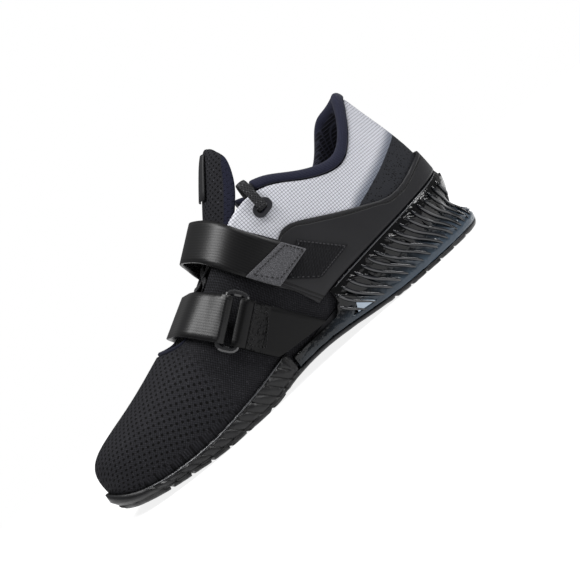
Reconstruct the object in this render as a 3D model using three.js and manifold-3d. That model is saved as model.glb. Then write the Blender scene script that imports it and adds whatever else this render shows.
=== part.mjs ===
// A weightlifting shoe for the right foot, in millimetres.
// A station s runs from the back of the heel, near 0, to the toe, near 300. +Y is the inner side
// of the foot, +Z is up, and the heel and the forefoot stand on z = 0.
import * as THREE from 'three';
import { mergeVertices } from 'three/addons/utils/BufferGeometryUtils.js';
import Module from 'manifold-3d';

const wasm = await Module();
wasm.setup();

// Driving sizes
const CENTRE_S = 147.6; // middle of the whole shoe, along and across
const CENTRE_Y = -1.2;
const WALL = 2.2; // the upper's wall
const GAP = 0.35; // between neighbouring curved pieces
const TREAD = 3.2; // thickness of the rubber under the wedge and the midsole
const FILM = 0.8; // fused film overlay
const COLUMNS = 68; // facets round the upper
const LEVELS = 6; // facets up the upper's wall
const FOREFOOT_START = 164; // the rubber side wall runs from here round the toe
const PLATE_TOP = 16.5; // the clear plate under the arch
const PLATE_START = 118;
const PLATE_END = 162;
const STRAP_LAYER = 1.8; // one layer of strap
const BAR_RADIUS = 2.0; // the ring's rod
const BAR_HEIGHT = 5.4; // the ring's centre above the section that the straps follow

// A table is one row of numbers for each section, under the names of its columns.
function table(columns, rows) {
  const names = columns.split(' ');
  return rows.map((row) => Object.fromEntries(names.map((name, i) => [name, row[i]])));
}

// The upper's sections, from the back of the heel to the toe.
// s, inner, outer: the lower edge and its half widths. topS, topY, topZ: the upper edge, and drop:
// how much lower it is outside. rise, lean: how far the wall's start holds its direction, and its
// outward lean in degrees. reach, slope: the same for its end, with the slope below level.
const UPPER = table('s inner outer topS topY topZ drop rise lean reach slope', [
  [1.5, 0, 0, 16.5, 0, 118.5, 0, 38, 5, 32, 76],
  [7, 16, 16, 22.5, 12.5, 117, 2, 36, 5, 30, 76],
  [21, 27.5, 27.5, 34.5, 22.5, 103, -8, 30, 4, 24, 80],
  [42, 33.5, 33.5, 50, 28.5, 89.3, -1.5, 24, 3, 20, 84],
  [62, 35, 36, 64, 31, 87, 1.5, 22, 2, 20, 85],
  [84, 34.5, 38.5, 83, 32.5, 93.8, 3, 24, 2, 22, 82],
  [106, 33, 41.5, 104, 33, 106, 3, 28, 4, 26, 76],
  [128, 33, 45, 124, 31, 108, 2, 32, 6, 28, 68],
  [150, 35, 48, 142, 27.5, 101.5, 1.5, 32, 8, 26, 56],
  [172, 39, 50.5, 159, 25, 91, 1, 28, 9, 24, 46],
  [194, 43, 51, 177, 24, 79.5, 0.5, 24, 9, 22, 36],
  [216, 45, 49.5, 193, 25, 69, 0, 22, 9, 22, 28],
  [240, 43, 45, 205, 23, 63.5, 0, 21, 9, 26, 22],
  [264, 35, 34.5, 214, 15.5, 64.3, 0, 26, 9, 37, 22],
  [284, 22.5, 18, 219, 7, 65.6, 0, 35, 12, 55, 25],
  [292, 12, 4.5, 220, 3.2, 66, 0, 39, 13, 61, 25],
  [295.5, 4, -4, 220.3, 0, 66.2, 0, 40, 13, 62, 25],
]);

// Heights of the sole along the shoe: its underside, the bed that the foot stands on, and the top
// of its side wall. lip, bulge, waist, spur: how far the side stands out from the upper's lower
// edge at its top, below the top, at half height and near the ground.
const SOLE = table('s ground bed rand lip bulge waist spur', [
  [0, 0, 31, 46, 2.5, 4.8, -6.5, 6],
  [8, 0, 31, 44, 2.3, 4.4, -4, 5.8],
  [22, 0, 30.7, 42.2, 2, 4, -1, 5],
  [50, 0, 29.5, 39.5, 2, 4, 0.8, 4.2],
  [72, 0, 27.5, 37.2, 2, 4, 1.6, 4],
  [92, 1.4, 25, 34.8, 2, 4, 2.2, 4],
  [109, 3.1, 22.2, 32.6, 2, 4, 2.6, 4],
  [125, 4.8, 19.2, 29.4, 2, 3.8, 3, 4],
  [138, 5.6, 17.2, 27.2, 2, 3.6, 3, 3.6],
  [155, 5.3, 13.7, 23, 2, 3.6, 3.2, 3.4],
  [172, 3.4, 11.2, 19.4, 2, 3.6, 3.6, 3.2],
  [190, 0, 9.4, 15.8, 2, 3.6, 3.8, 3],
  [214, 0, 8.2, 12.4, 2, 3.6, 4, 3],
  [228, 0, 7.9, 10.8, 2, 3.6, 4, 2.8],
  [246, 1.3, 7.9, 10.2, 2, 3.6, 4, 2.6],
  [264, 2.6, 8.4, 10.8, 2, 3.6, 4, 2.4],
  [280, 4.4, 10.2, 13.3, 2, 3.8, 4, 2],
  [289, 6, 12.6, 17.6, 2, 4, 3.6, 1.6],
  [293.5, 7.6, 14.8, 20.8, 2, 4, 3.5, 1.2],
  [295.5, 8.6, 16, 22.4, 2, 4, 3.4, 1],
]);

// The tongue's middle line from under the vamp to its tip, with its half width, how far its edges
// wrap back round the foot, and its thickness in the middle.
const TONGUE = table('s z half wrap thick', [
  [231, 56, 15, 4, 3],
  [219, 57.5, 21, 6, 3.6],
  [206, 60.3, 24, 8, 4.5],
  [190, 67, 25, 9, 5],
  [174, 78, 25, 9.5, 5.5],
  [160, 90.5, 25, 10, 6],
  [147, 110, 24, 14, 6],
  [134, 127, 24.5, 16, 6],
  [122.5, 141, 23, 12, 5.5],
  [117, 146.8, 18, 7.5, 4.5],
  [113.5, 149.2, 9, 3, 3],
]);

const { PI, max, min, abs, sin, cos } = Math;
const rad = (degrees) => degrees * PI / 180;
const mix = (a, b, t) => a + (b - a) * t;
const clamp = (x, low, high) => min(max(x, low), high);
const bell = (x) => Math.exp(-x * x);
const point = (x, y, z) => new THREE.Vector3(x, y, z);
const steps = (count) => Array.from({ length: count + 1 }, (_, i) => i / count);

// One column of a table as a smooth function of its first column that never overshoots a row.
function column(table, key, along = 's') {
  const x = table.map((row) => row[along]);
  const y = table.map((row) => row[key]);
  const rate = x.slice(1).map((end, i) => (y[i + 1] - y[i]) / (end - x[i]));
  const tangent = y.map((_, i) => {
    const before = rate[max(i - 1, 0)];
    const after = rate[min(i, rate.length - 1)];
    return before * after > 0 ? 2 * before * after / (before + after) : 0;
  });
  return (where) => {
    const v = clamp(where, x[0], x[x.length - 1]);
    let i = 0;
    while (i < x.length - 2 && v > x[i + 1]) i += 1;
    const w = x[i + 1] - x[i];
    const t = (v - x[i]) / w;
    const hold = t * t * (3 - 2 * t);
    const leave = t * (1 - t) * (1 - t);
    const arrive = t * t * (t - 1);
    return mix(y[i], y[i + 1], hold) + w * (tangent[i] * leave + tangent[i + 1] * arrive);
  };
}

const ground = column(SOLE, 'ground');
const bed = column(SOLE, 'bed');
const rand = column(SOLE, 'rand');
const sideOut = ['lip', 'bulge', 'waist', 'spur'].map((key) => column(SOLE, key));

// A closed solid through loops of points that have equal counts. Unless the last loop meets the
// first, both ends are closed by joining each point to the one across its loop.
function loft(loops, meets = false) {
  const corners = [];
  const quad = (a, b, c, d) => corners.push(a, b, c, a, c, d);
  const count = loops[0].length;
  const last = meets ? loops.length : loops.length - 1;
  for (let i = 0; i < last; i += 1) {
    const here = loops[i];
    const next = loops[(i + 1) % loops.length];
    for (let k = 0; k < count; k += 1) {
      const l = (k + 1) % count;
      quad(here[k], here[l], next[l], next[k]);
    }
  }
  if (!meets) {
    const first = loops[0];
    const end = loops[loops.length - 1];
    for (let k = 0; k < Math.floor(count / 2) - 1; k += 1) {
      const across = count - 1 - k;
      quad(first[k], first[across], first[across - 1], first[k + 1]);
      quad(end[k], end[k + 1], end[across - 1], end[across]);
    }
  }
  return closed(corners);
}

// Merges equal corners, drops collapsed triangles and turns the solid's faces outwards.
function closed(corners) {
  const flat = new THREE.BufferGeometry();
  flat.setAttribute('position', new THREE.Float32BufferAttribute(corners.flatMap((p) => [p.x, p.y, p.z]), 3));
  const merged = mergeVertices(flat, 1e-3);
  const place = merged.getAttribute('position');
  const index = merged.getIndex().array;
  const kept = [];
  let volume = 0;
  for (let i = 0; i < index.length; i += 3) {
    const [a, b, c] = [index[i], index[i + 1], index[i + 2]];
    if (a === b || b === c || c === a) continue;
    kept.push(a, b, c);
    const [p, q, r] = [a, b, c].map((v) => new THREE.Vector3().fromBufferAttribute(place, v));
    volume += p.dot(q.cross(r));
  }
  for (let i = 0; volume < 0 && i < kept.length; i += 3) {
    [kept[i + 1], kept[i + 2]] = [kept[i + 2], kept[i + 1]];
  }
  merged.setIndex(kept);
  return merged;
}

function toSolid(geometry) {
  const bare = mergeVertices(geometry.deleteAttribute('normal').deleteAttribute('uv'));
  return new wasm.Manifold(new wasm.Mesh({
    numProp: 3,
    vertProperties: new Float32Array(bare.getAttribute('position').array),
    triVerts: new Uint32Array(bare.getIndex().array),
  }));
}

function toGeometry(solid) {
  const mesh = solid.getMesh();
  const geometry = new THREE.BufferGeometry();
  geometry.setAttribute('position', new THREE.Float32BufferAttribute(mesh.vertProperties, 3));
  geometry.setIndex(Array.from(mesh.triVerts));
  return geometry;
}

const join = (pieces) => pieces.map(toSolid).reduce((whole, piece) => whole.add(piece));
const cut = (whole, tools) => tools.map(toSolid).reduce((rest, tool) => rest.subtract(tool), whole);
const largest = (solid) => solid.decompose().sort((a, b) => b.volume() - a.volume())[0];

// A prism across the shoe whose outline is given in stations and heights.
function across(outline, from, to) {
  const side = (y) => outline.map(([s, z]) => point(s, y, z));
  const rings = [side(from), side(to)];
  const shape = new THREE.Shape(outline.map(([s, z]) => new THREE.Vector2(s, z)));
  const faces = THREE.ShapeUtils.triangulateShape(shape.getPoints(), []);
  const corners = [];
  faces.forEach(([a, b, c]) => {
    corners.push(rings[0][a], rings[0][b], rings[0][c]);
    corners.push(rings[1][a], rings[1][c], rings[1][b]);
  });
  outline.forEach((_, i) => {
    const n = (i + 1) % outline.length;
    corners.push(rings[0][n], rings[0][i], rings[1][i], rings[0][n], rings[1][i], rings[1][n]);
  });
  return closed(corners);
}

// The upper's sections all the way round: up the inner side to the toe, back along the outer side.
const ROWS = [
  ...UPPER.map((row) => ({ ...row, side: 1, half: row.inner, topHalf: row.topY, low: 0 })),
  ...UPPER.slice(1, -1).reverse().map((row) => ({
    ...row, side: -1, half: row.outer, topHalf: row.topY, low: row.drop,
  })),
];

// Each section's four control points, from its lower edge to its upper edge.
const CONTROLS = ROWS.map((row, i) => {
  const foot = (r) => point(r.s, r.side * r.half, bed(r.s) + GAP);
  const base = foot(row);
  const before = foot(ROWS[(i + ROWS.length - 1) % ROWS.length]);
  const after = foot(ROWS[(i + 1) % ROWS.length]);
  const out = point(before.y - after.y, after.x - before.x, 0).normalize();
  const top = point(row.topS, row.side * row.topHalf, row.topZ - row.low);
  const away = point(base.x - top.x, base.y - top.y, 0).addScaledVector(out, 12).normalize();
  const start = base.clone().addScaledVector(out, row.rise * sin(rad(row.lean)));
  start.z += row.rise * cos(rad(row.lean));
  const end = top.clone().addScaledVector(away, row.reach * cos(rad(row.slope)));
  end.z -= row.reach * sin(rad(row.slope));
  return [base, start, end, top];
});

// Control point k at any turn round the shoe, counted in sections.
function control(k, turn) {
  const count = CONTROLS.length;
  const wrapped = ((turn % count) + count) % count;
  const i = Math.floor(wrapped) % count;
  const t = wrapped - Math.floor(wrapped);
  const [a, b, c, d] = [-1, 0, 1, 2].map((step) => CONTROLS[(i + step + count) % count][k]);
  const weights = [
    (-t + 2 * t * t - t ** 3) / 2, (2 - 5 * t * t + 3 * t ** 3) / 2,
    (t + 4 * t * t - 3 * t ** 3) / 2, (t ** 3 - t * t) / 2,
  ];
  return [a, b, c, d].reduce((sum, p, n) => sum.addScaledVector(p, weights[n]), point(0, 0, 0));
}

// The upper's outer surface: turn round the shoe, height 0 at its lower and 1 at its upper edge.
function wall(turn, height) {
  const h = 1 - height;
  const weights = [h ** 3, 3 * h * h * height, 3 * h * height * height, height ** 3];
  return weights.reduce((sum, w, k) => sum.addScaledVector(control(k, turn), w), point(0, 0, 0));
}

function wallNormal(turn, height) {
  const step = 0.02;
  const up = wall(turn, height + step).sub(wall(turn, height - step));
  const along = wall(turn + step, height).sub(wall(turn - step, height));
  return up.cross(along).normalize();
}

const shell = (turn, height, out) => wall(turn, height).addScaledVector(wallNormal(turn, height), out);

// The height on the wall at which it reaches z.
function wallHeight(turn, z) {
  let [low, high] = [0, 0.999];
  for (let i = 0; i < 24; i += 1) {
    const middle = (low + high) / 2;
    if (wall(turn, middle).z < z) low = middle; else high = middle;
  }
  return low;
}

// The spot on one side of the upper at a station and a height above the ground.
function spot(side, s, z) {
  const half = CONTROLS.length / 2;
  let [low, high] = [0, half];
  let height = 0;
  for (let i = 0; i < 24; i += 1) {
    const turn = (low + high) / 2;
    height = wallHeight(side * turn, z);
    if (wall(side * turn, height).x < s) low = turn; else high = turn;
  }
  return { turn: side * (low + high) / 2, height };
}

const turns = Array.from({ length: COLUMNS }, (_, i) => i * CONTROLS.length / COLUMNS);

// A piece of the upper's outer surface between two distances from it. place(u, v) gives the turn
// and the height, and the outer distance may change with the turn.
function overlay(place, lanes, up, from, to) {
  const strip = (u, out) => steps(up).map((v) => {
    const [turn, height] = place(u, v);
    return shell(turn, height, out(turn));
  });
  return loft(steps(lanes).map((u) => [...strip(u, to), ...strip(u, () => from).reverse()]));
}

// The same for a patch with four corners given by station and height.
function patch(side, corners, lanes, up, from, to) {
  return overlay((u, v) => {
    const [a, b, c, d] = corners;
    const s = mix(mix(a.s, b.s, u), mix(d.s, c.s, u), v);
    const z = mix(mix(a.z, b.z, u), mix(d.z, c.z, u), v);
    const found = spot(side, s, z);
    return [found.turn, found.height];
  }, lanes, up, from, () => to);
}

// The upper: one wall, open underneath, at the collar and down the throat.
const EYELET = { s: 117, z: 97, length: 14, width: 9.5, tilt: 12 };

function oval(length, width, tilt, count) {
  const straight = (length - width) / 2;
  return steps(count - 1).map((_, i) => {
    const angle = 2 * PI * (i + 0.5) / count;
    const x = cos(angle) * width / 2 + Math.sign(cos(angle)) * straight;
    const y = sin(angle) * width / 2;
    const turned = rad(tilt);
    return [x * cos(turned) - y * sin(turned), x * sin(turned) + y * cos(turned)];
  });
}

// The eyelet's own axes on the upper: along the shoe, up the wall and outwards.
function eyeletAxes(side) {
  const { turn, height } = spot(side, EYELET.s, EYELET.z);
  const out = wallNormal(turn, height);
  const along = point(-1, 0, 0).addScaledVector(out, out.x).normalize();
  const up = point(0, 0, 1).addScaledVector(out, -out.z).normalize();
  return { centre: wall(turn, height), along, up, out };
}

function ovalRing(side, length, width, depth) {
  const { centre, along, up, out } = eyeletAxes(side);
  return oval(length, width, EYELET.tilt, 16).map(([x, y]) => centre.clone()
    .addScaledVector(along, x).addScaledVector(up, y).addScaledVector(out, depth));
}

function upperSolid() {
  const loops = turns.map((turn) => [
    ...steps(LEVELS).map((height) => shell(turn, height, 0)),
    ...steps(LEVELS).reverse().map((height) => shell(turn, height, -WALL)),
  ]);
  const holes = [1, -1].map((side) => loft([6, -6].map((depth) => ovalRing(side, 8, 4.2, depth))));
  return cut(toSolid(loft(loops, true)), holes);
}

// A flat metal ring round each top lace hole.
function eyeletSolid(side) {
  const ring = loft([GAP + 0.4, 2.0].map((depth) => ovalRing(side, EYELET.length, EYELET.width, depth)));
  return cut(toSolid(ring), [loft([-4, 6].map((depth) => ovalRing(side, 8.4, 4.6, depth)))]);
}

// The sole's outline: the upper's lower edge moved outwards, and distance round it from the heel.
function edge(turn, out, z) {
  const step = 0.02;
  const base = control(0, turn);
  const along = control(0, turn + step).sub(control(0, turn - step));
  return point(base.x, base.y, z).addScaledVector(point(-along.y, along.x, 0).normalize(), out);
}

const FINE = 20; // samples per section for distances round the outline
const distances = [0];
for (let i = 1; i <= FINE * CONTROLS.length / 2; i += 1) {
  distances.push(distances[i - 1] + edge(i / FINE, 0, 0).distanceTo(edge((i - 1) / FINE, 0, 0)));
}

function turnAt(side, distance) {
  let i = 1;
  while (i < distances.length - 1 && distances[i] < distance) i += 1;
  const part = (distance - distances[i - 1]) / (distances[i] - distances[i - 1]);
  return side * (i - 1 + part) / FINE;
}

function turnOfStation(side, s) {
  let turn = 0;
  while (control(0, side * turn).x < s) turn += 1 / FINE;
  return side * turn;
}

const treadTop = (s) => ground(s) + TREAD;

// How far the sole's side stands out from the upper's lower edge, at a part of its own height.
function sideAt(s, part) {
  const [lip, bulge, waist, spur] = sideOut.map((f) => f(s));
  return column([
    { part: 0, out: spur - 0.8 }, { part: 0.12, out: spur }, { part: 0.42, out: waist },
    { part: 0.8, out: bulge }, { part: 1, out: lip },
  ], 'out', 'part')(part);
}

// The top of the plate under the foot.
const plateTop = (s) => min(PLATE_TOP, bed(s) - 3.4);

// The midsole is set back behind the clear wedge, and reaches the side wall under the forefoot.
const coreBack = column([{ s: 0, back: 9 }, { s: 90, back: 8 }, { s: 122, back: 0 }], 'back');

// One section of the sole's side wall, from its inner foot over its lip and down its outside. The
// outside has points at parts of the height above and below the bed.
function sideSection(turn, above, below) {
  const s = control(0, turn).x;
  const foot = treadTop(s);
  const top = rand(s);
  const wallOut = (z) => {
    const reached = wall(turn, wallHeight(turn, z));
    const base = edge(turn, 0, reached.z);
    return reached.sub(base).dot(edge(turn, 1, base.z).sub(base));
  };
  const inside = steps(2).map((t) => mix(bed(s), top, t));
  const face = inside.map((z) => edge(turn, wallOut(max(z, bed(s) + GAP)) + GAP + 0.15, z));
  const lip = max(sideAt(s, 1), wallOut(top) + GAP + 1.5);
  const heights = [...above.map((t) => mix(bed(s), top, t)), ...below.map((t) => mix(foot, bed(s), t))];
  const outside = heights.map((z) => {
    const part = (z - foot) / (top - foot);
    const out = mix(sideAt(s, part), lip, clamp((part - 0.8) / 0.2, 0, 1));
    return edge(turn, z > bed(s) ? max(out, wallOut(z) + GAP + 1.2) : out, z);
  });
  const back = coreBack(s) > 0.5 ? -coreBack(s) + GAP : GAP + 0.15;
  return [edge(turn, back, foot), edge(turn, back, bed(s)), ...face, ...outside];
}

// A rib or fin on the sole's side: it starts at a distance round the outline, drifts towards the
// heel as it goes down, and stands proud of the side.
function rib(side, start, drift, topPart, footPart, width, proud, count) {
  return loft(steps(count).map((t) => {
    const centre = start - drift * (t + 0.1 * sin(2 * PI * t));
    const part = mix(topPart, footPart, t);
    const swell = proud * (0.35 + 0.65 * sin(PI * clamp(t * 0.9 + 0.1, 0, 1)));
    return [[-0.5, -1.4], [-0.28, 1], [0.28, 1], [0.5, -1.4]].map(([shift, out]) => {
      const turn = turnAt(side, centre + shift * width);
      const s = control(0, turn).x;
      const z = mix(treadTop(s), rand(s), part);
      const away = sideAt(s, part) + (out > 0 ? swell : out);
      return edge(turn, z > bed(s) - 1 ? max(away, GAP + 0.9) : away, z);
    });
  }));
}

// A slab across the whole shoe between two heights, whose outline is moved by given amounts.
function slab(from, to, outTop, outFoot, topZ, footZ, count = 40, wide = 4) {
  const line = (turn, out, height) => {
    const left = edge(turn, out(control(0, turn).x), 0);
    const right = edge(-turn, out(control(0, -turn).x), 0);
    return steps(wide).map((t) => {
      const p = left.clone().lerp(right, t);
      p.z = height(p.x, p.y);
      return p;
    });
  };
  return loft(steps(count).map((t) => {
    const turn = mix(from, to, t);
    return [...line(turn, outTop, topZ), ...line(turn, outFoot, footZ).reverse()];
  }));
}

const END = CONTROLS.length / 2; // the toe, in sections from the heel
// where a groove crosses the tread: six under the heel, seven under the forefoot
const GROOVE_STATIONS = [16, 29, 42, 55, 68, 81, 184, 197, 218, 231, 244, 257, 270];

// Rubber outsole: the tread under the whole shoe, the forefoot's side wall with slanting ribs,
// the bumper at the toe, and grooves that part the lugs.
function outsoleSolid() {
  const tread = slab(0, END, (s) => sideAt(s, 0.06), (s) => sideAt(s, 0) - 1.6, treadTop, ground, 30, 1);
  const first = turnOfStation(1, FOREFOOT_START);
  const last = CONTROLS.length + turnOfStation(-1, FOREFOOT_START);
  const sections = steps(28).map((t) => {
    const section = sideSection(mix(first, last, t), [1, 0.1], [0.4, 0]);
    section.push(section[section.length - 1].clone().setZ(section[0].z - TREAD / 2));
    section.push(section[0].clone().setZ(section[0].z - TREAD / 2));
    return section;
  });
  const ribs = [1, -1].flatMap((side) => {
    const from = distances[Math.round(abs(turnOfStation(side, 172)) * FINE)];
    return steps(7).map((t) => rib(side, from + 88 * t, 5 - 2 * t, 0.88, 0.1, 6, 0.9, 1));
  });
  const grooves = GROOVE_STATIONS.map((s) => {
    const groove = new THREE.BoxGeometry(2, 130, 3.2);
    groove.rotateZ(rad(s > 150 ? 8 : -6));
    groove.translate(s, 0, ground(s));
    return groove;
  });
  return cut(join([tread, joinSections(sections), ...ribs]), grooves);
}

// Sections whose loops aren't a strip in and out: their ends are closed from their first corner.
function joinSections(sections) {
  const corners = [];
  sections.slice(1).forEach((next, i) => {
    const here = sections[i];
    here.forEach((_, k) => {
      const l = (k + 1) % here.length;
      corners.push(here[k], here[l], next[l], here[k], next[l], next[k]);
    });
  });
  [sections[0], sections[sections.length - 1]].forEach((loop, end) => {
    const middle = loop.reduce((sum, p) => sum.add(p), point(0, 0, 0)).divideScalar(loop.length);
    const frame = loop[0].clone().sub(middle).setZ(0).normalize();
    const flat = loop.map((p) => new THREE.Vector2(p.clone().sub(middle).dot(frame), p.z));
    THREE.ShapeUtils.triangulateShape(flat, []).forEach(([a, b, c]) => {
      const turned = THREE.ShapeUtils.area([flat[a], flat[b], flat[c]]) > 0;
      const wanted = (THREE.ShapeUtils.area(flat) > 0) === turned;
      const face = wanted ? [a, b, c] : [a, c, b];
      corners.push(...(end ? face : face.reverse()).map((k) => loop[k]));
    });
  });
  return closed(corners);
}

// Clear heel wedge: side wall with fins and spur, and the plate that bridges the arch.
function wedgeSolid() {
  const from = turnOfStation(-1, PLATE_END);
  const to = turnOfStation(1, PLATE_END);
  const overBed = [1, 0.5, 0.04];
  const underBed = [0.7, 0.4, 0.14, 0];
  // closer sections round the heel, where the outline turns fastest
  const spread = steps(36).map((t) => mix(from, to, 0.5 + 0.75 * (t - 0.5) + (t - 0.5) ** 3));
  const sections = spread.map((turn) => sideSection(turn, overBed, underBed).map((p, k, loop) => {
    if (k === 0 || k === loop.length - 1) p.z += GAP;
    return p;
  }));
  const plate = slab(
    turnOfStation(1, PLATE_START), to, () => 1.5, () => 1.5, plateTop, (s) => treadTop(s) + GAP, 8, 2,
  );
  const above = across([
    [PLATE_START - 1, 70], [PLATE_START - 1, 24], [PLATE_START + 5, PLATE_TOP],
    [PLATE_END + 9, PLATE_TOP - 1.2], [PLATE_END + 9, 70],
  ], -90, 90);
  const window = across([[97, 8.2], [114.5, 10.2], [106.5, 16.4]], -90, 90);
  const fins = [1, -1].flatMap((side) => {
    const reach = distances[Math.round(abs(turnOfStation(side, 121)) * FINE)];
    return steps(7).map((t) => {
      const start = mix(9, reach, t);
      return rib(side, start, 27 * (1 - Math.exp(-start / 42)), 0.9, 0.16, 5, 1.5, 3);
    });
  });
  const below = slab(0, END, () => 30, () => 30, (s) => treadTop(s) + GAP, () => -40, 24, 1);
  const body = cut(join([joinSections(sections), plate, ...fins]), [above, window, below]);
  return largest(body);
}

// The dark core: behind the clear wall at the heel, arched over the plate, and full width in front.
function midsoleSolid() {
  const arch = table('s part', [[88, 0], [96, 1], [PLATE_END, 1], [168, 0]]);
  const arched = column(arch, 'part');
  const foot = (s) => mix(treadTop(s) + GAP, plateTop(s) + GAP + 0.1, arched(s));
  const out = (s) => -coreBack(s) - (s > 88 && s < 124 ? 0.35 : 0);
  return toSolid(slab(0, END, out, out, bed, foot, 44, 1));
}

function insoleSolid() {
  const top = (s, y) => bed(s) + 4.6 + 1.6 * (y / 36) ** 2;
  return toSolid(slab(0, END, () => -WALL - 1.3, () => -WALL - 1.3, top, (s) => bed(s) + GAP + 0.05, 36, 2));
}

// The tongue as a padded strip along its middle line, wrapped round the instep.
function tonguePoint(t, acrossPart, depth) {
  const key = t * (TONGUE.length - 1);
  const numbered = TONGUE.map((row, i) => ({ ...row, i }));
  const value = (name, where = key) => column(numbered, name, 'i')(where);
  const change = (name) => value(name, key + 0.3) - value(name, key - 0.3);
  const along = point(change('s'), 0, change('z')).normalize();
  const out = point(along.z, 0, -along.x).multiplyScalar(along.x < 0 ? 1 : -1);
  const thick = value('thick') * (1 - 0.55 * acrossPart * acrossPart);
  const back = value('wrap') * acrossPart * acrossPart + depth * thick;
  return point(value('s'), acrossPart * value('half'), value('z')).addScaledVector(out, -back);
}

function tongueSolid() {
  const loops = steps(18).map((t) => [
    ...steps(6).map((u) => tonguePoint(t, 2 * u - 1, 0)),
    ...steps(6).reverse().map((u) => tonguePoint(t, 2 * u - 1, 1)),
  ]);
  return keepClear(toSolid(loft(loops)), GAP + 0.1);
}

// Takes the upper's wall, made thicker by a clearance on both faces, out of a piece.
function keepClear(piece, clearance) {
  const low = -0.04;
  const high = 1.04;
  const around = loft(turns.map((turn) => [
    ...steps(LEVELS).map((t) => shell(turn, mix(low, high, t), clearance)),
    ...steps(LEVELS).reverse().map((t) => shell(turn, mix(low, high, t), -WALL - clearance)),
  ]), true);
  return largest(piece.subtract(toSolid(around)));
}

// A bare label on the front of the tongue.
function labelSolid() {
  const place = (u, v, depth) => tonguePoint(mix(0.68, 0.9, v), mix(-0.34, 0.34, u), depth);
  return toSolid(loft(steps(4).map((u) => [
    ...steps(4).map((v) => place(u, v, -0.28)),
    ...steps(4).reverse().map((v) => place(u, v, -0.09)),
  ])));
}

// Film overlay round the heel and both quarters. Its front edge leans forwards as it rises.
const FILM_TOP = table('s z', [
  [0, 62], [8, 60.5], [24, 55.8], [36, 52.6], [46, 52.4], [58, 56.5], [81, 65.6], [100, 74.5],
  [114, 80], [120, 79.5], [132, 68], [143, 55],
]);
const FILM_FRONT = { foot: 127, head: 143 };
const FILM_SWELL = 1.3; // extra thickness at the back of the heel

function filmSolid() {
  const top = column(FILM_TOP, 'z');
  const thick = (turn) => GAP + FILM + FILM_SWELL * bell(turn / 1.3);
  return toSolid(overlay((u, v) => {
    const side = u < 0.5 ? 1 : -1;
    const part = abs(1 - 2 * u);
    const foot = abs(spot(side, FILM_FRONT.foot, rand(FILM_FRONT.foot)).turn) * part;
    const head = abs(spot(side, FILM_FRONT.head, 55).turn) * part;
    const turn = side * mix(foot, head, v);
    const z = mix(rand(control(0, side * foot).x) + 0.9, top(control(0, turn).x), v);
    return [turn, wallHeight(turn, z)];
  }, 44, 3, GAP, thick));
}

// Padded collar: a roll on the wall's upper edge, and the lining that hangs inside it.
function collarSolid() {
  const reach = 6.4; // its front ends, in sections from the heel
  const roll = [[-0.9, 1.1], [-1.4, 3.4], [-0.4, 7], [2.2, 8.6], [5, 8], [7.2, 5], [7.8, 1]];
  const lining = table('down deep', [[6, 8], [18, 8.2], [30, 5.5]]);
  const backing = [32, 14, 1];
  const wallLength = 80;
  const face = WALL + GAP + 0.35;
  const section = (turn) => {
    const top = wall(turn, 1);
    const out = wallNormal(turn, 0.98);
    const up = wall(turn, 1).sub(wall(turn, 0.98)).normalize();
    const inside = (down, deep) => shell(turn, 1 - down / wallLength, -deep);
    const rim = shell(turn, 0.995, -face);
    return [
      ...roll.map(([inwards, high]) => top.clone().addScaledVector(out, -inwards).addScaledVector(up, high)),
      ...lining.map(({ down, deep }) => inside(down, deep)),
      ...backing.map((down) => inside(down, face)),
      rim.addScaledVector(up, 1.5),
    ];
  };
  return toSolid(joinSections(steps(27).map((t) => section(mix(-reach, reach, t)))));
}

// A closed tube along points. A flat one is wider along its side direction.
function tube(path, wide, thick, sideways, sides = 8, smooth = 3) {
  const curve = new THREE.CatmullRomCurve3(path.map(([x, y, z]) => point(x, y, z)), false, 'centripetal');
  const count = (path.length - 1) * smooth;
  return loft(steps(count).map((t) => {
    const along = curve.getTangent(t);
    const side = point(...sideways).addScaledVector(along, -point(...sideways).dot(along)).normalize();
    const up = along.clone().cross(side);
    return steps(sides - 1).map((_, k) => {
      const angle = 2 * PI * (k + 0.5) / sides;
      const spoke = side.clone().multiplyScalar(cos(angle) * wide / 2);
      return curve.getPoint(t).add(spoke).addScaledVector(up, sin(angle) * thick / 2);
    });
  }));
}

// Piping on the front of the throat's edge.
function pipingSolid() {
  const radius = 1.6;
  return toSolid(loft(steps(20).map((t) => {
    const turn = mix(11.4, 20.6, t);
    const top = wall(turn, 1);
    const out = wallNormal(turn, 0.98);
    const up = wall(turn, 1).sub(wall(turn, 0.97)).normalize();
    const centre = top.clone().addScaledVector(up, radius + GAP).addScaledVector(out, -WALL / 2);
    return steps(5).map((_, k) => {
      const angle = 2 * PI * (k + 0.5) / 6;
      const spoke = out.clone().multiplyScalar(cos(angle)).addScaledVector(up, sin(angle));
      return centre.clone().addScaledVector(spoke, radius);
    });
  })));
}

// A strap lies in a tilted frame: width along w, height along q, with the shoe's own y. tilt is the
// slope of its width in degrees, middle its place along w, lift its rise over the laces at the
// crest, drift how far it slides forwards down the sides, and twist its extra turn at the crest.
const INSTEP = { tilt: 37.8, middle: -60, width: 27, lift: 6.5, drift: 5.6, twist: 0 };
const FOREFOOT = { tilt: 37.8, middle: -106, width: 29, lift: 0.6, drift: 0, twist: -8 };
const DRIFT_DEPTH = 42; // below the crest, where the drift ends
const TWIST_DEPTH = 14;

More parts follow.
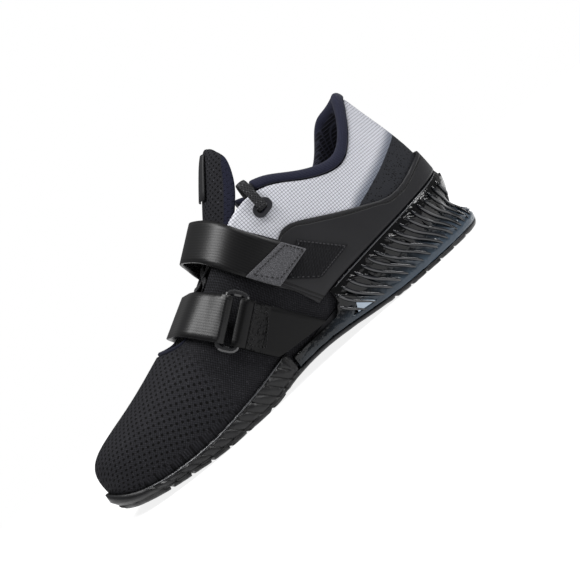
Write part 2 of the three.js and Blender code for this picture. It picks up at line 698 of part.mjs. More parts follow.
// The taut line over the upper and the tongue, within the width of a strap: its hull, measured
// from its crest, in steps of a millimetre. at(length, out) gives a spot on it.
function tautLine({ tilt, middle, width, lift, drift, twist }) {
  const widthWay = point(-cos(rad(tilt)), 0, sin(rad(tilt)));
  const heightWay = point(sin(rad(tilt)), 0, cos(rad(tilt)));
  const all = [
    ...turns.flatMap((turn) => steps(24).map((t) => wall(turn, t))),
    ...steps(60).flatMap((t) => steps(8).map((u) => tonguePoint(t, 2 * u - 1, 0))),
  ].map((p) => ({ y: p.y, w: p.dot(widthWay) - middle, q: p.dot(heightWay) }));
  const room = width / 2 + 1.5;
  const peak = max(...all.filter(({ w }) => abs(w) < room).map(({ q }) => q));
  const slide = (q) => {
    const t = clamp((peak - q) / DRIFT_DEPTH, 0, 1);
    return -drift * t * (2 - t);
  };
  const seen = all.filter(({ w, q }) => abs(w - slide(q)) < room).map(({ y, q }) => [y, q]);
  seen.sort((a, b) => a[0] - b[0]);
  const turnOf = (a, b, c) => (b[0] - a[0]) * (c[1] - a[1]) - (b[1] - a[1]) * (c[0] - a[0]);
  const hull = [];
  seen.forEach((p) => {
    while (hull.length > 1 && turnOf(hull[hull.length - 2], hull[hull.length - 1], p) >= 0) hull.pop();
    hull.push(p);
  });
  const lowSide = (sign) => {
    const part = seen.filter((p) => sign * p[0] > 0).sort((a, b) => b[1] - a[1]);
    const out = [];
    part.forEach((p) => {
      const last = out[out.length - 1];
      const near = part.filter((other) => abs(other[1] - p[1]) < 5).map((other) => sign * other[0]);
      if (!last || last[1] - p[1] > 6) out.push([sign * max(...near), p[1]]);
    });
    return out;
  };
  const crest = hull.reduce((best, p) => (p[1] > best[1] ? p : best));
  const ends = { left: hull[0], right: hull[hull.length - 1] };
  const chain = [
    ...lowSide(-1).filter((p) => p[1] < ends.left[1] - 4).reverse(),
    ...hull,
    ...lowSide(1).filter((p) => p[1] < ends.right[1] - 4),
  ].map(([y, q]) => new THREE.Vector2(y, q));
  const even = (line, count) => {
    const lengths = [0];
    line.slice(1).forEach((p, i) => lengths.push(lengths[i] + p.distanceTo(line[i])));
    const total = lengths[lengths.length - 1];
    return steps(count).map((t) => {
      let i = 1;
      while (i < lengths.length - 1 && lengths[i] < t * total) i += 1;
      return line[i - 1].clone().lerp(line[i], (t * total - lengths[i - 1]) / (lengths[i] - lengths[i - 1]));
    });
  };
  let smooth = even(chain, 80);
  for (let pass = 0; pass < 6; pass += 1) {
    smooth = smooth.map((p, i) => {
      if (i === 0 || i === 80) return p;
      return p.clone().multiplyScalar(2).add(smooth[i - 1]).add(smooth[i + 1]).multiplyScalar(0.25);
    });
  }
  const normalOf = (i) => {
    const step = smooth[min(i + 1, 80)].clone().sub(smooth[max(i - 1, 0)]);
    return new THREE.Vector2(-step.y, step.x).normalize();
  };
  const lifted = smooth.map((p, i) => {
    const away = (p.y - crest[1]) / 22;
    return p.clone().addScaledVector(normalOf(i), 0.9 + lift * bell(away));
  });
  const lengths = [0];
  lifted.slice(1).forEach((p, i) => lengths.push(lengths[i] + p.distanceTo(lifted[i])));
  const top = lifted.reduce((best, p, i) => (abs(p.x) < abs(lifted[best].x) ? i : best), 0);
  const locate = (length) => {
    const wanted = length + lengths[top];
    let i = 1;
    while (i < 80 && lengths[i] < wanted) i += 1;
    const t = (wanted - lengths[i - 1]) / (lengths[i] - lengths[i - 1]);
    const step = lifted[i].clone().sub(lifted[i - 1]);
    const out = new THREE.Vector2(-step.y, step.x).normalize();
    return { spot: lifted[i - 1].clone().addScaledVector(step, t), out };
  };
  const at = (length, w, out) => {
    const here = locate(length);
    const flat = here.spot.clone().addScaledVector(here.out, out);
    const turned = rad(tilt + twist * (1 - clamp((peak - flat.y) / TWIST_DEPTH, 0, 1)));
    const centre = point(0, flat.x, 0).addScaledVector(heightWay, flat.y);
    const across = point(-w * cos(turned), 0, w * sin(turned));
    return centre.addScaledVector(widthWay, middle + slide(flat.y)).add(across);
  };
  // the length from the crest at which the line has come down to a height q on one side
  const lengthAt = (side, q) => {
    let length = 0;
    while (locate(side * length).spot.y > q && length < 140) length += 0.5;
    return side * length;
  };
  return { at, lengthAt, widthWay };
}

// A band on a taut line. from and to give its ends at both edges; thick may vary along it.
function band(line, width, from, to, low, high, count, lanes = 2) {
  const edges = steps(lanes).map((t) => (t - 0.5) * width);
  return loft(edges.map((w, i) => {
    const start = mix(from[0], from[1], i / lanes);
    const end = mix(to[0], to[1], i / lanes);
    const along = steps(count).map((t) => mix(start, end, t));
    return [
      ...along.map((length) => line.at(length, w, high(length, end))),
      ...along.reverse().map((length) => line.at(length, w, low(length, end))),
    ];
  }));
}

const instepLine = tautLine(INSTEP);
const forefootLine = tautLine(FOREFOOT);
const PATCH_ROOM = 2.6; // the instep strap's end rides on the film and the loop patch

// Ends of the straps, by their height q in the tilted frame, at the front edge and the rear edge.
const INSTEP_END = [129.5, 118.5].map((q) => instepLine.lengthAt(1, q));
const INSTEP_TAB = [151, 135].map((q) => instepLine.lengthAt(1, q));
const BAR_ONE = forefootLine.lengthAt(1, 158.5);
const BAR_TWO = BAR_ONE + 10.5;
const BAND_END = [121.5, 95.5].map((q) => forefootLine.lengthAt(1, q));

const instepLow = (length) => 0.2 + PATCH_ROOM * clamp((length - 30) / 30, 0, 1)
  + PATCH_ROOM * 0.4 * clamp((-length - 40) / 30, 0, 1);

function instepStrap() {
  const anchor = [99.5, 84.5].map((q) => instepLine.lengthAt(-1, q));
  return toSolid(band(
    instepLine, INSTEP.width, anchor, INSTEP_END,
    instepLow, (length) => instepLow(length) + STRAP_LAYER + 0.5, 32,
  ));
}

function instepTab() {
  const high = (length) => instepLow(length) + STRAP_LAYER + 0.5 + GAP;
  return toSolid(band(
    instepLine, INSTEP.width - 0.6, INSTEP_TAB, INSTEP_END.map((length) => length - 0.3),
    high, (length) => high(length) + 1.1, 6,
  ));
}

// A hole along the ring's rod, for the fold that wraps it.
function rodHole(line, length, width, radius) {
  return loft([-0.5, 0.5].map((t) => steps(11).map((_, k) => {
    const angle = 2 * PI * k / 12;
    const centre = line.at(length, t * width, BAR_HEIGHT);
    const along = line.at(length + 1, t * width, BAR_HEIGHT).sub(centre).normalize();
    const out = line.at(length, t * width, BAR_HEIGHT + 1).sub(centre);
    return centre.addScaledVector(along, cos(angle) * radius).addScaledVector(out, sin(angle) * radius);
  })));
}

const HOLE = BAR_RADIUS + GAP + 0.1;
const FOLD = HOLE + 1.5; // outer radius of a fold round the rod

// Height of a fold's upper and lower face where it rounds the rod at bar, at a given length.
function foldHeight(length, bar, resting, sign) {
  const off = abs(length - bar);
  const round = off < FOLD ? Math.sqrt(FOLD * FOLD - off * off) : 0;
  const ramp = clamp(1 - (off - FOLD * 0.6) / 9, 0, 1);
  const target = BAR_HEIGHT + sign * max(round, FOLD * 0.55);
  return mix(resting, target, ramp * ramp * (3 - 2 * ramp));
}

function forefootStrap() {
  const anchor = [122, 105].map((q) => forefootLine.lengthAt(-1, q));
  const end = BAR_ONE + FOLD - 0.4;
  const flap = -46; // the folded layer ends here on the outer side
  const high = (length) => {
    const layers = mix(2 * STRAP_LAYER, STRAP_LAYER, clamp((flap - length) / 3, 0, 1));
    return length > 0 ? foldHeight(length, BAR_ONE, layers + 0.3, 1) : layers + 0.3;
  };
  const low = (length) => (length > 0 ? foldHeight(length, BAR_ONE, 0.3, -1) : 0.3);
  const whole = toSolid(band(forefootLine, FOREFOOT.width, anchor, [end, end], low, high, 44));
  return cut(whole, [rodHole(forefootLine, BAR_ONE, FOREFOOT.width + 4, HOLE)]);
}

function anchorBand() {
  const start = BAR_TWO - FOLD + 0.4;
  const high = (length) => foldHeight(length, BAR_TWO, STRAP_LAYER + 1.1, 1);
  const low = (length) => foldHeight(length, BAR_TWO, 0.3, -1);
  const whole = toSolid(band(forefootLine, FOREFOOT.width, [start, start], BAND_END, low, high, 18));
  return cut(whole, [rodHole(forefootLine, BAR_TWO, FOREFOOT.width + 4, HOLE)]);
}

// The ring: one rod round a rectangle with round corners, lying between strap and keeper.
function ringSolid() {
  const half = { along: (BAR_TWO - BAR_ONE) / 2, wide: FOREFOOT.width / 2 + 2.4 };
  const corner = 3.2;
  const path = [];
  [[1, 1], [-1, 1], [-1, -1], [1, -1]].forEach(([a, w], quarter) => {
    steps(3).forEach((t) => {
      const angle = PI / 2 * (quarter + t);
      path.push([
        a * (half.along - corner) + corner * cos(angle), w * (half.wide - corner) + corner * sin(angle),
      ]);
    });
  });
  const [one, two] = [BAR_ONE, BAR_TWO].map((length) => forefootLine.at(length, 0, BAR_HEIGHT));
  const centre = one.clone().lerp(two, 0.5);
  const stretch = one.distanceTo(two) / (BAR_TWO - BAR_ONE);
  const along = two.clone().sub(one).normalize();
  const { widthWay } = forefootLine;
  const out = widthWay.clone().cross(along);
  const loops = path.map((here, i) => {
    const before = path[(i + path.length - 1) % path.length];
    const after = path[(i + 1) % path.length];
    const way = new THREE.Vector2(after[0] - before[0], after[1] - before[1]).normalize();
    const aside = along.clone().multiplyScalar(-way.y).addScaledVector(widthWay, way.x);
    const p = centre.clone().addScaledVector(along, here[0] * stretch).addScaledVector(widthWay, here[1]);
    return steps(7).map((_, k) => p.clone()
      .addScaledVector(aside, cos(PI * (k + 0.5) / 4) * BAR_RADIUS)
      .addScaledVector(out, sin(PI * (k + 0.5) / 4) * BAR_RADIUS));
  });
  return toSolid(loft(loops, true));
}

// Laces: crossings over the tongue between the throat's edges, as one joined solid.
const LACE_ROWS = [203, 188, 173, 159];

function laceBars() {
  const front = UPPER.filter((row) => row.topS > 120);
  const throat = column(front.map((row) => ({ s: -row.topS, z: row.topZ })).reverse(), 'z');
  const tongueTop = column(TONGUE.slice(0, 8).map((row) => ({ s: -row.s, z: row.z })), 'z');
  const ends = LACE_ROWS.map((s) => ({ s, y: 19, z: throat(-s) - 0.2 }));
  const pieces = [];
  ends.slice(1).forEach((end, i) => {
    const start = ends[i];
    [1, -1].forEach((side) => {
      const s = (start.s + end.s) / 2;
      const top = tongueTop(-s) + 1.6;
      pieces.push(tube([
        [start.s, side * start.y, max(start.z, tongueTop(-start.s) - 3) + 0.2],
        [mix(start.s, s, 0.55), side * 9, tongueTop(-mix(start.s, s, 0.55)) + 1.5],
        [s, 0, top],
        [mix(end.s, s, 0.55), -side * 9, tongueTop(-mix(end.s, s, 0.55)) + 1.5],
        [end.s, -side * end.y, max(end.z, tongueTop(-end.s) - 3) + 0.2],
      ], 6, 1.6, [0.85, 0, -0.5], 4, 2));
    });
  });
  return join(pieces);
}

// The lace's free end comes out of the inner eyelet, over the wall's edge and into the shoe.
const LACE_END = [
  [117, 34.6, 96.9], [117, 36.5, 97.1], [117, 37.8, 98.3], [117, 37.7, 100.3], [117, 36.7, 104.5],
  [117, 35.6, 109], [117, 34.2, 113.5], [117, 31.9, 116.8], [117, 29.3, 117.6], [117, 27.4, 115.2],
  [117, 26.6, 110], [117, 26.3, 103], [117, 26.1, 96],
];
const LACE_WIDTH = 6.8;

// Colours and finish of the real materials.
const finishes = {
  rubber: [0x1b1b1d, 0.55, 0],
  clear: [0x394250, 0.15, 0],
  core: [0x101013, 0.6, 0],
  insole: [0x16161c, 0.9, 0],
  mesh: [0x222226, 0.85, 0],
  film: [0x3a3a40, 0.5, 0],
  woven: [0x1a1a1c, 0.9, 0],
  navy: [0x22243a, 0.9, 0],
  label: [0x9a9aa2, 0.5, 0],
  strap: [0x3a3a3f, 0.35, 0],
  tab: [0x5a5a5c, 0.9, 0],
  gloss: [0x0c0c0e, 0.2, 0],
  lace: [0x29292c, 0.9, 0],
  metal: [0x4a4a4e, 0.3, 0.9],
};

const shoe = new THREE.Group();

function add(name, piece, finish) {
  const geometry = piece.isBufferGeometry ? piece : toGeometry(piece);
  const [color, roughness, metalness] = finishes[finish];
  const mesh = new THREE.Mesh(geometry, new THREE.MeshStandardMaterial({ color, roughness, metalness }));
  mesh.name = name;
  mesh.position.set(-CENTRE_S, -CENTRE_Y, 0);
  shoe.add(mesh);
}

add('outsole', outsoleSolid(), 'rubber');
add('heel_wedge', wedgeSolid(), 'clear');
add('midsole', midsoleSolid(), 'core');
add('insole', insoleSolid(), 'insole');
add('upper', upperSolid(), 'mesh');
add('tongue', tongueSolid(), 'mesh');
add('quarter_overlay', filmSolid(), 'film');
add('loop_patch', patch(1, [
  { s: 134, z: 54 }, { s: 113, z: 69 }, { s: 89, z: 46 }, { s: 116, z: 41 },
], 6, 6, GAP + FILM + GAP, GAP + FILM + GAP + 1), 'woven');
add('collar_lining', collarSolid(), 'navy');
add('throat_piping', pipingSolid(), 'navy');
add('tongue_label', labelSolid(), 'label');
add('instep_strap', instepStrap(), 'strap');
add('instep_strap_tab', instepTab(), 'tab');
add('forefoot_strap', forefootStrap(), 'strap');
add('strap_ring', ringSolid(), 'gloss');
add('anchor_band', anchorBand(), 'strap');
add('lace_bars', laceBars(), 'lace');
add('lace_end', tube(LACE_END, LACE_WIDTH, 1.8, [1, 0, 0], 8, 2), 'lace');
add('eyelet_medial', eyeletSolid(1), 'metal');
add('eyelet_lateral', eyeletSolid(-1), 'metal');

export default shoe;
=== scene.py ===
"""The looks of a weightlifting shoe: soft forms, surfaces, stitches, floor, lights and camera."""

import math

import bmesh
import bpy
from mathutils import Matrix, Vector, kdtree
from mathutils.bvhtree import BVHTree


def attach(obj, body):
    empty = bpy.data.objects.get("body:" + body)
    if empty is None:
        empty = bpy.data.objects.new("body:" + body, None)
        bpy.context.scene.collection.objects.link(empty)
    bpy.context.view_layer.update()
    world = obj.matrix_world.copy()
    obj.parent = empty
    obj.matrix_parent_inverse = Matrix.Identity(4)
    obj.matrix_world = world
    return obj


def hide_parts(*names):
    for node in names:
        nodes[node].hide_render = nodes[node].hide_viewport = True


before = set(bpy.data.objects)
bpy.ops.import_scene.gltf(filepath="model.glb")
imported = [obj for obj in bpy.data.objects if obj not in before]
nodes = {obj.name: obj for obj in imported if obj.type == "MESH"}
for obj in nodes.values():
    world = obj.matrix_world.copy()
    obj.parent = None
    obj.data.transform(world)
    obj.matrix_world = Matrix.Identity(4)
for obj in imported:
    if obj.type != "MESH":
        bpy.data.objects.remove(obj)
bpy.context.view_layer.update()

# Lengths along the shoe, s, run from the back of the heel in millimetres, as a shoemaker
# measures them. The frame's own X starts at the middle of the shoe.
CENTRE = 147.6
MM = 0.001


def spot(s, y, z):
    return Vector((s - CENTRE, y, z)) * MM


def tone(red, green, blue):
    """A colour as the eye reads it, 0 to 255, turned into light."""
    parts = [((c / 255 + 0.055) / 1.055) ** 2.4 for c in (red, green, blue)]
    return (*parts, 1)


# Camera and lights. The camera looks at the inner side from 5 degrees above the floor,
# and is rolled so that the toe points down to the left, as in the photograph.
SWING = math.radians(13.95)
RISE = math.radians(5.0)
ROLL = math.radians(4.68)
TURN = math.atan2(0.6896, 0.7242)
LENS = 63.1
SENSOR_WIDTH = 36
CAMERA_PLACE = (0.1374, 0.6365, 0.1018)
LIT_SPOT = (0, 0, 0.06)  # what both lights point at


def set_camera():
    forward = Vector((
        -math.sin(SWING) * math.cos(RISE),
        -math.cos(SWING) * math.cos(RISE),
        -math.sin(RISE),
    ))
    level_right = Vector((-math.cos(SWING), math.sin(SWING), 0))
    level_up = level_right.cross(forward)
    angle = TURN - ROLL
    right = level_right * math.cos(angle) - level_up * math.sin(angle)
    up = level_right * math.sin(angle) + level_up * math.cos(angle)
    turn = Matrix((right, up, -forward)).transposed()
    data = bpy.data.cameras.new("camera")
    data.lens = LENS
    data.sensor_width = SENSOR_WIDTH
    camera = bpy.data.objects.new("camera", data)
    camera.matrix_world = Matrix.Translation(CAMERA_PLACE) @ turn.to_4x4()
    bpy.context.scene.collection.objects.link(camera)
    bpy.context.scene.camera = camera


def light(name, place, size, power):
    data = bpy.data.lights.new(name, "AREA")
    data.shape = "RECTANGLE"
    data.size, data.size_y = size
    data.energy = power
    lamp = bpy.data.objects.new(name, data)
    lamp.location = place
    lamp.rotation_euler = (Vector(LIT_SPOT) - Vector(place)).to_track_quat("-Z", "Y").to_euler()
    bpy.context.scene.collection.objects.link(lamp)


# A drawn line fills a curve node's square: this many mm along the shoe and up.
LINE_SPAN = 320
LINE_RISE = 160.0


# Materials. A Bench holds one set of shader nodes, in a material or in a shared group.
class Bench:
    def __init__(self, tree):
        self.tree = tree

    def add(self, kind, inputs=None, **settings):
        """One node: its inputs are given by name or number, as values or as other nodes' outputs."""
        made = self.tree.nodes.new(kind)
        for name, value in settings.items():
            setattr(made, name, value)
        for key, value in (inputs or {}).items():
            if isinstance(value, bpy.types.NodeSocket):
                self.tree.links.new(value, made.inputs[key])
            else:
                made.inputs[key].default_value = value
        return made

    def maths(self, operation, *values):
        return self.add("ShaderNodeMath", dict(enumerate(values)), operation=operation).outputs[0]

    def plus(self, *values):
        total = values[0]
        for value in values[1:]:
            total = self.maths("ADD", total, value)
        return total

    def times(self, *values):
        total = values[0]
        for value in values[1:]:
            total = self.maths("MULTIPLY", total, value)
        return total

    def step(self, value, start, end):
        """A smooth step of a value from 0 at start to 1 at end."""
        made = self.add(
            "ShaderNodeMapRange",
            {"Value": value, "From Min": start, "From Max": end},
            interpolation_type="SMOOTHSTEP",
        )
        return made.outputs["Result"]

    def blend(self, share, first, second):
        """A mix of two colours."""
        made = self.add("ShaderNodeMix", {0: share, 6: first, 7: second}, data_type="RGBA")
        return made.outputs[2]

    def blend_value(self, share, first, second):
        """A mix of two numbers."""
        made = self.add("ShaderNodeMix", {0: share, 2: first, 3: second}, data_type="FLOAT")
        return made.outputs[0]

    def noise(self, vector, scale, detail):
        made = self.add(
            "ShaderNodeTexNoise", {"Vector": vector, "Scale": scale, "Detail": detail}
        )
        return made.outputs["Fac"]

    def millimetres(self):
        """X, Y and Z of the object in millimetres, and the same as one vector."""
        source = self.add("ShaderNodeTexCoord").outputs["Object"]
        scaled = self.add("ShaderNodeVectorMath", {0: source, 3: 1 / MM}, operation="SCALE").outputs[0]
        parts = self.add("ShaderNodeSeparateXYZ", {0: scaled})
        return (*parts.outputs, scaled)

    def lane(self, name):
        """X, Y and Z of a named attribute of the piece, and the same as one vector."""
        made = self.add("ShaderNodeAttribute", attribute_name=name)
        parts = self.add("ShaderNodeSeparateXYZ", {0: made.outputs["Vector"]})
        return (*parts.outputs, made.outputs["Vector"])

    def line(self, x, spots):
        """The height in mm of a line through (s, z) spots at the object's X in mm."""
        share = self.times(self.plus(x, CENTRE), 1 / LINE_SPAN)
        made = self.add("ShaderNodeFloatCurve", {"Value": share})
        points = made.mapping.curves[0].points
        for i, (s, z) in enumerate(spots):
            if i < 2:
                points[i].location = (s / LINE_SPAN, z / LINE_RISE)
            else:
                points.new(s / LINE_SPAN, z / LINE_RISE)
        for point in points:
            point.handle_type = "AUTO_CLAMPED"
        made.mapping.update()
        return self.times(made.outputs[0], LINE_RISE)

    def use(self, group, **inputs):
        made = self.add("ShaderNodeGroup", node_tree=group)
        for key, value in inputs.items():
            sock = made.inputs[key.replace("_", " ").capitalize()]
            if isinstance(value, bpy.types.NodeSocket):
                self.tree.links.new(value, sock)
            else:
                sock.default_value = value
        return made.outputs[0]


class Finish(Bench):
    """One material with its Principled shader."""

    def __init__(self, name, rough=0.6, sheen=0.0, coat=0.0, metal=0.0, gloss=0.5):
        self.material = bpy.data.materials.new(name)
        self.material.use_nodes = True
        super().__init__(self.material.node_tree)
        self.shader = self.tree.nodes["Principled BSDF"]
        self.set("Roughness", rough)
        self.set("Sheen Weight", sheen)
        self.set("Coat Weight", coat)
        self.set("Metallic", metal)
        self.set("Specular IOR Level", gloss)

    def set(self, name, value):
        if isinstance(value, bpy.types.NodeSocket):
            self.tree.links.new(value, self.shader.inputs[name])
        else:
            self.shader.inputs[name].default_value = value

    def relief(self, *layers):
        """Bumps, each a height from 0 to 1 and its depth in millimetres."""
        normal = None
        for height, depth in layers:
            inputs = {"Height": height, "Distance": depth * MM, "Strength": 1.0}
            if normal is not None:
                inputs["Normal"] = normal
            normal = self.add("ShaderNodeBump", inputs).outputs["Normal"]
        self.set("Normal", normal)


def shared(name, inputs):
    """An empty node group, its bench, its input sockets by name, and where its result goes."""
    group = bpy.data.node_groups.new(name, "ShaderNodeTree")
    for label, kind in inputs.items():
        group.interface.new_socket(label, in_out="INPUT", socket_type=kind)
    group.interface.new_socket("Height", in_out="OUTPUT", socket_type="NodeSocketFloat")
    bench = Bench(group)
    start = bench.add("NodeGroupInput")
    end = bench.add("NodeGroupOutput")
    return group, bench, start.outputs, end.inputs[0]


FLOAT = "NodeSocketFloat"
VECTOR = "NodeSocketVector"
HOLE_BLUR = 0.16  # half the soft rim of a round hole, in mm


def make_thread_grid():
    """Lines of thread that cross at a pitch, as on ripstop cloth. 1 on a line."""
    group, b, given, end = shared(
        "thread grid", {"Across": FLOAT, "Up": FLOAT, "Pitch": FLOAT, "Line": FLOAT}
    )
    lines = []
    for way in ("Across", "Up"):
        turns = b.maths("DIVIDE", given[way], given["Pitch"])
        near = b.maths("ABSOLUTE", b.plus(b.maths("FRACT", turns), -0.5))
        width = b.maths("DIVIDE", given["Line"], given["Pitch"])
        made = b.add(
            "ShaderNodeMapRange",
            {"Value": near, "From Min": b.maths("SUBTRACT", 0.5, width), "From Max": 0.5},
            interpolation_type="SMOOTHSTEP",
        )
        lines.append(made.outputs["Result"])
    b.tree.links.new(b.maths("MAXIMUM", *lines), end)
    return group


def make_round_holes():
    """Rows of round holes, each second row moved by half a pitch. 1 in a hole."""
    group, b, given, end = shared(
        "round holes",
        {"Across": FLOAT, "Up": FLOAT, "Pitch": FLOAT, "Row": FLOAT, "Radius": FLOAT},
    )
    row = b.maths("DIVIDE", given["Up"], given["Row"])
    odd = b.maths("MODULO", b.maths("ABSOLUTE", b.maths("FLOOR", row)), 2.0)
    turns = b.plus(b.maths("DIVIDE", given["Across"], given["Pitch"]), b.times(odd, 0.5))
    x = b.times(b.plus(b.maths("FRACT", turns), -0.5), given["Pitch"])
    y = b.times(b.plus(b.maths("FRACT", row), -0.5), given["Row"])
    away = b.maths("SQRT", b.plus(b.times(x, x), b.times(y, y)))
    made = b.add(
        "ShaderNodeMapRange",
        {
            "Value": away,
            "From Min": b.plus(given["Radius"], HOLE_BLUR),
            "From Max": b.plus(given["Radius"], -HOLE_BLUR),
        },
        interpolation_type="SMOOTHSTEP",
    )
    b.tree.links.new(made.outputs["Result"], end)
    return group


def make_weave():
    """Over and under threads of a plain weave."""
    group, b, given, end = shared("weave", {"Across": FLOAT, "Up": FLOAT, "Pitch": FLOAT})
    waves = []
    for way in ("Across", "Up"):
        turn = b.times(b.maths("DIVIDE", given[way], given["Pitch"]), math.pi)
        waves.append(b.maths("SINE", turn))
    over = b.times(*waves)
    b.tree.links.new(b.plus(b.times(over, 0.5), 0.5), end)
    return group


def make_ribs():
    """Rounded ribs at a pitch."""
    group, b, given, end = shared("ribs", {"Across": FLOAT, "Pitch": FLOAT, "Sharpness": FLOAT})
    turn = b.times(b.maths("DIVIDE", given["Across"], given["Pitch"]), 2 * math.pi)
    wave = b.plus(b.times(b.maths("SINE", turn), 0.5), 0.5)
    b.tree.links.new(b.maths("POWER", wave, given["Sharpness"]), end)
    return group


def make_flecks():
    """Small separate flecks of lighter thread. 1 on a fleck."""
    group, b, given, end = shared("flecks", {"Vector": VECTOR, "Scale": FLOAT, "Share": FLOAT})
    cells = b.add(
        "ShaderNodeTexVoronoi", {"Vector": given["Vector"], "Scale": given["Scale"]}
    )
    chosen = b.add("ShaderNodeSeparateColor", {0: cells.outputs["Color"]}).outputs[0]
    picked = b.maths("LESS_THAN", chosen, given["Share"])
    near = b.step(cells.outputs["Distance"], 0.42, 0.2)
    b.tree.links.new(b.times(picked, near), end)
    return group


def make_edge_wear():
    """Where the piece's own edges stand out, from how pointed the surface is."""
    group, b, given, end = shared("edge wear", {"Amount": FLOAT})
    pointed = b.add("ShaderNodeNewGeometry").outputs["Pointiness"]
    b.tree.links.new(b.times(b.step(pointed, 0.52, 0.62), given["Amount"]), end)
    return group


thread_grid = make_thread_grid()
round_holes = make_round_holes()
weave = make_weave()
ribs = make_ribs()
flecks = make_flecks()
edge_wear = make_edge_wear()


# Lines on the inner side, as (s, z) in millimetres.
FILM_TOP = [(0, 62), (8, 60.5), (24, 55.8), (36, 52.6), (46, 52.4), (58, 56.5), (81, 65.6),
            (100, 74.5), (114, 80), (120, 79.5), (132, 68), (143, 55)]
# The panel's front edge passes this (s, z) and leans by this much s for each mm up.
PANEL_FRONT = (118.0, 70.0)
PANEL_LEAN = 0.72
# The toe's rows of holes slant: shares of the lengths along and over the foot.
ROW_ALONG = 0.94
ROW_OVER = 0.34
PANEL_FOOT = [(0, 83), (7, 81.3), (26, 74.5), (38, 69.6), (54, 64.1), (67, 59.6), (82, 48), (160, 20)]


def upper_finish():
    """Black perforated mesh, light ripstop at the ankle, a speckled heel counter and a dark lining."""
    f = Finish("upper cloth", gloss=0.12)
    x, y, z, everywhere = f.millimetres()
    length, girth, inner, _ = f.lane("girth")
    around, height, _, _ = f.lane("round")
    s = f.plus(x, CENTRE)
    grain = f.noise(everywhere, 0.5, 4.0)
    fine = f.noise(everywhere, 3.0, 2.0)

    # the ankle panel
    front = f.plus(PANEL_FRONT[0], f.times(f.plus(z, -PANEL_FRONT[1]), PANEL_LEAN))
    behind = f.step(f.maths("SUBTRACT", front, s), -0.4, 0.4)
    above = f.maths("SUBTRACT", z, f.line(x, PANEL_FOOT))
    in_panel = f.times(behind, f.step(above, -0.3, 0.3))
    grid = f.use(thread_grid, across=around, up=height, pitch=1.8, line=0.2)
    shade = f.step(above, 9.0, 1.0)
    pale = f.blend(f.times(grain, 0.35), tone(214, 215, 222), tone(188, 190, 200))
    pale = f.blend(f.times(shade, 0.8), pale, tone(74, 84, 100))
    panel = f.blend(grid, pale, tone(44, 46, 60))

    # the heel counter below it, and the vamp in front of it
    in_counter = f.times(behind, f.step(above, 0.3, -0.3))
    speck = f.use(flecks, vector=everywhere, scale=0.7, share=0.62)
    counter = f.blend(speck, tone(42, 43, 47), tone(6, 6, 7))
    low_edge = f.step(f.maths("ABSOLUTE", girth), 80.0, 66.0)
    knit = f.times(f.use(weave, across=length, up=girth, pitch=0.85), low_edge)
    light_thread = f.use(flecks, vector=everywhere, scale=1.5, share=0.16)
    vamp = f.blend(knit, tone(6, 6, 7), tone(38, 38, 42))
    vamp = f.blend(f.times(light_thread, 0.6), vamp, tone(78, 78, 82))

    # round holes over the toe, fading towards the ball of the foot and the sole
    slant = f.plus(f.times(length, ROW_ALONG), f.times(girth, ROW_OVER))
    over = f.plus(f.times(girth, ROW_ALONG), f.times(length, -ROW_OVER))
    holes = f.use(round_holes, across=slant, up=over, pitch=4.7, row=2.35, radius=0.78)
    zone = f.times(f.step(s, 200.0, 216.0), f.step(f.maths("ABSOLUTE", girth), 72.0, 54.0))
    holes = f.times(holes, zone)
    vamp = f.blend(f.times(zone, 0.22), vamp, tone(46, 46, 50))
    vamp = f.blend(holes, vamp, tone(1, 1, 2))

    outside = f.blend(in_panel, vamp, panel)
    outside = f.blend(in_counter, outside, counter)
    net = f.use(thread_grid, across=around, up=height, pitch=2.6, line=0.5)
    lining = f.blend(net, tone(20, 20, 26), tone(7, 7, 10))
    f.set("Base Color", f.blend(inner, outside, lining))
    f.set("Roughness", f.blend_value(in_panel, 0.78, f.blend_value(grid, 0.42, 0.6)))
    f.relief(
        (f.times(knit, f.maths("SUBTRACT", 1.0, in_panel)), 0.12),
        (f.times(holes, -1.0), 0.5),
        (f.times(grid, in_panel), 0.08),
        (fine, 0.05),
    )
    return f.material


def film_finish():
    """Satin fused film, with a dark dashed line inside its top edge and two down its front edge."""
    f = Finish("satin film", gloss=0.3)
    x, y, z, everywhere = f.millimetres()
    below = f.maths("SUBTRACT", f.line(x, FILM_TOP), z)
    groove = f.step(f.maths("ABSOLUTE", f.plus(below, -2.8)), 0.95, 0.45)
    dashes = f.maths("GREATER_THAN", f.maths("FRACT", f.times(x, 0.55)), 0.28)
    s = f.plus(x, CENTRE)
    front = f.plus(f.times(f.plus(z, -31.3), 0.63), 127.0)
    ahead = f.maths("SUBTRACT", front, s)
    seams = []
    for inset in (2.2, 5.0):
        seams.append(f.step(f.maths("ABSOLUTE", f.plus(ahead, -inset)), 0.8, 0.35))
    cloud = f.noise(everywhere, 0.06, 3.0)
    leather = f.noise(everywhere, 2.4, 3.0)
    base = f.blend(cloud, tone(20, 20, 23), tone(30, 30, 33))
    dashed = f.times(groove, f.plus(f.times(dashes, 0.5), 0.5))
    dark = f.maths("MAXIMUM", dashed, f.maths("MAXIMUM", *seams))
    f.set("Base Color", f.blend(f.times(dark, 0.95), base, tone(5, 5, 6)))
    f.set("Roughness", f.plus(f.times(leather, 0.14), 0.4))
    f.relief((f.times(dark, -1.0), 0.5), (leather, 0.04))
    return f.material


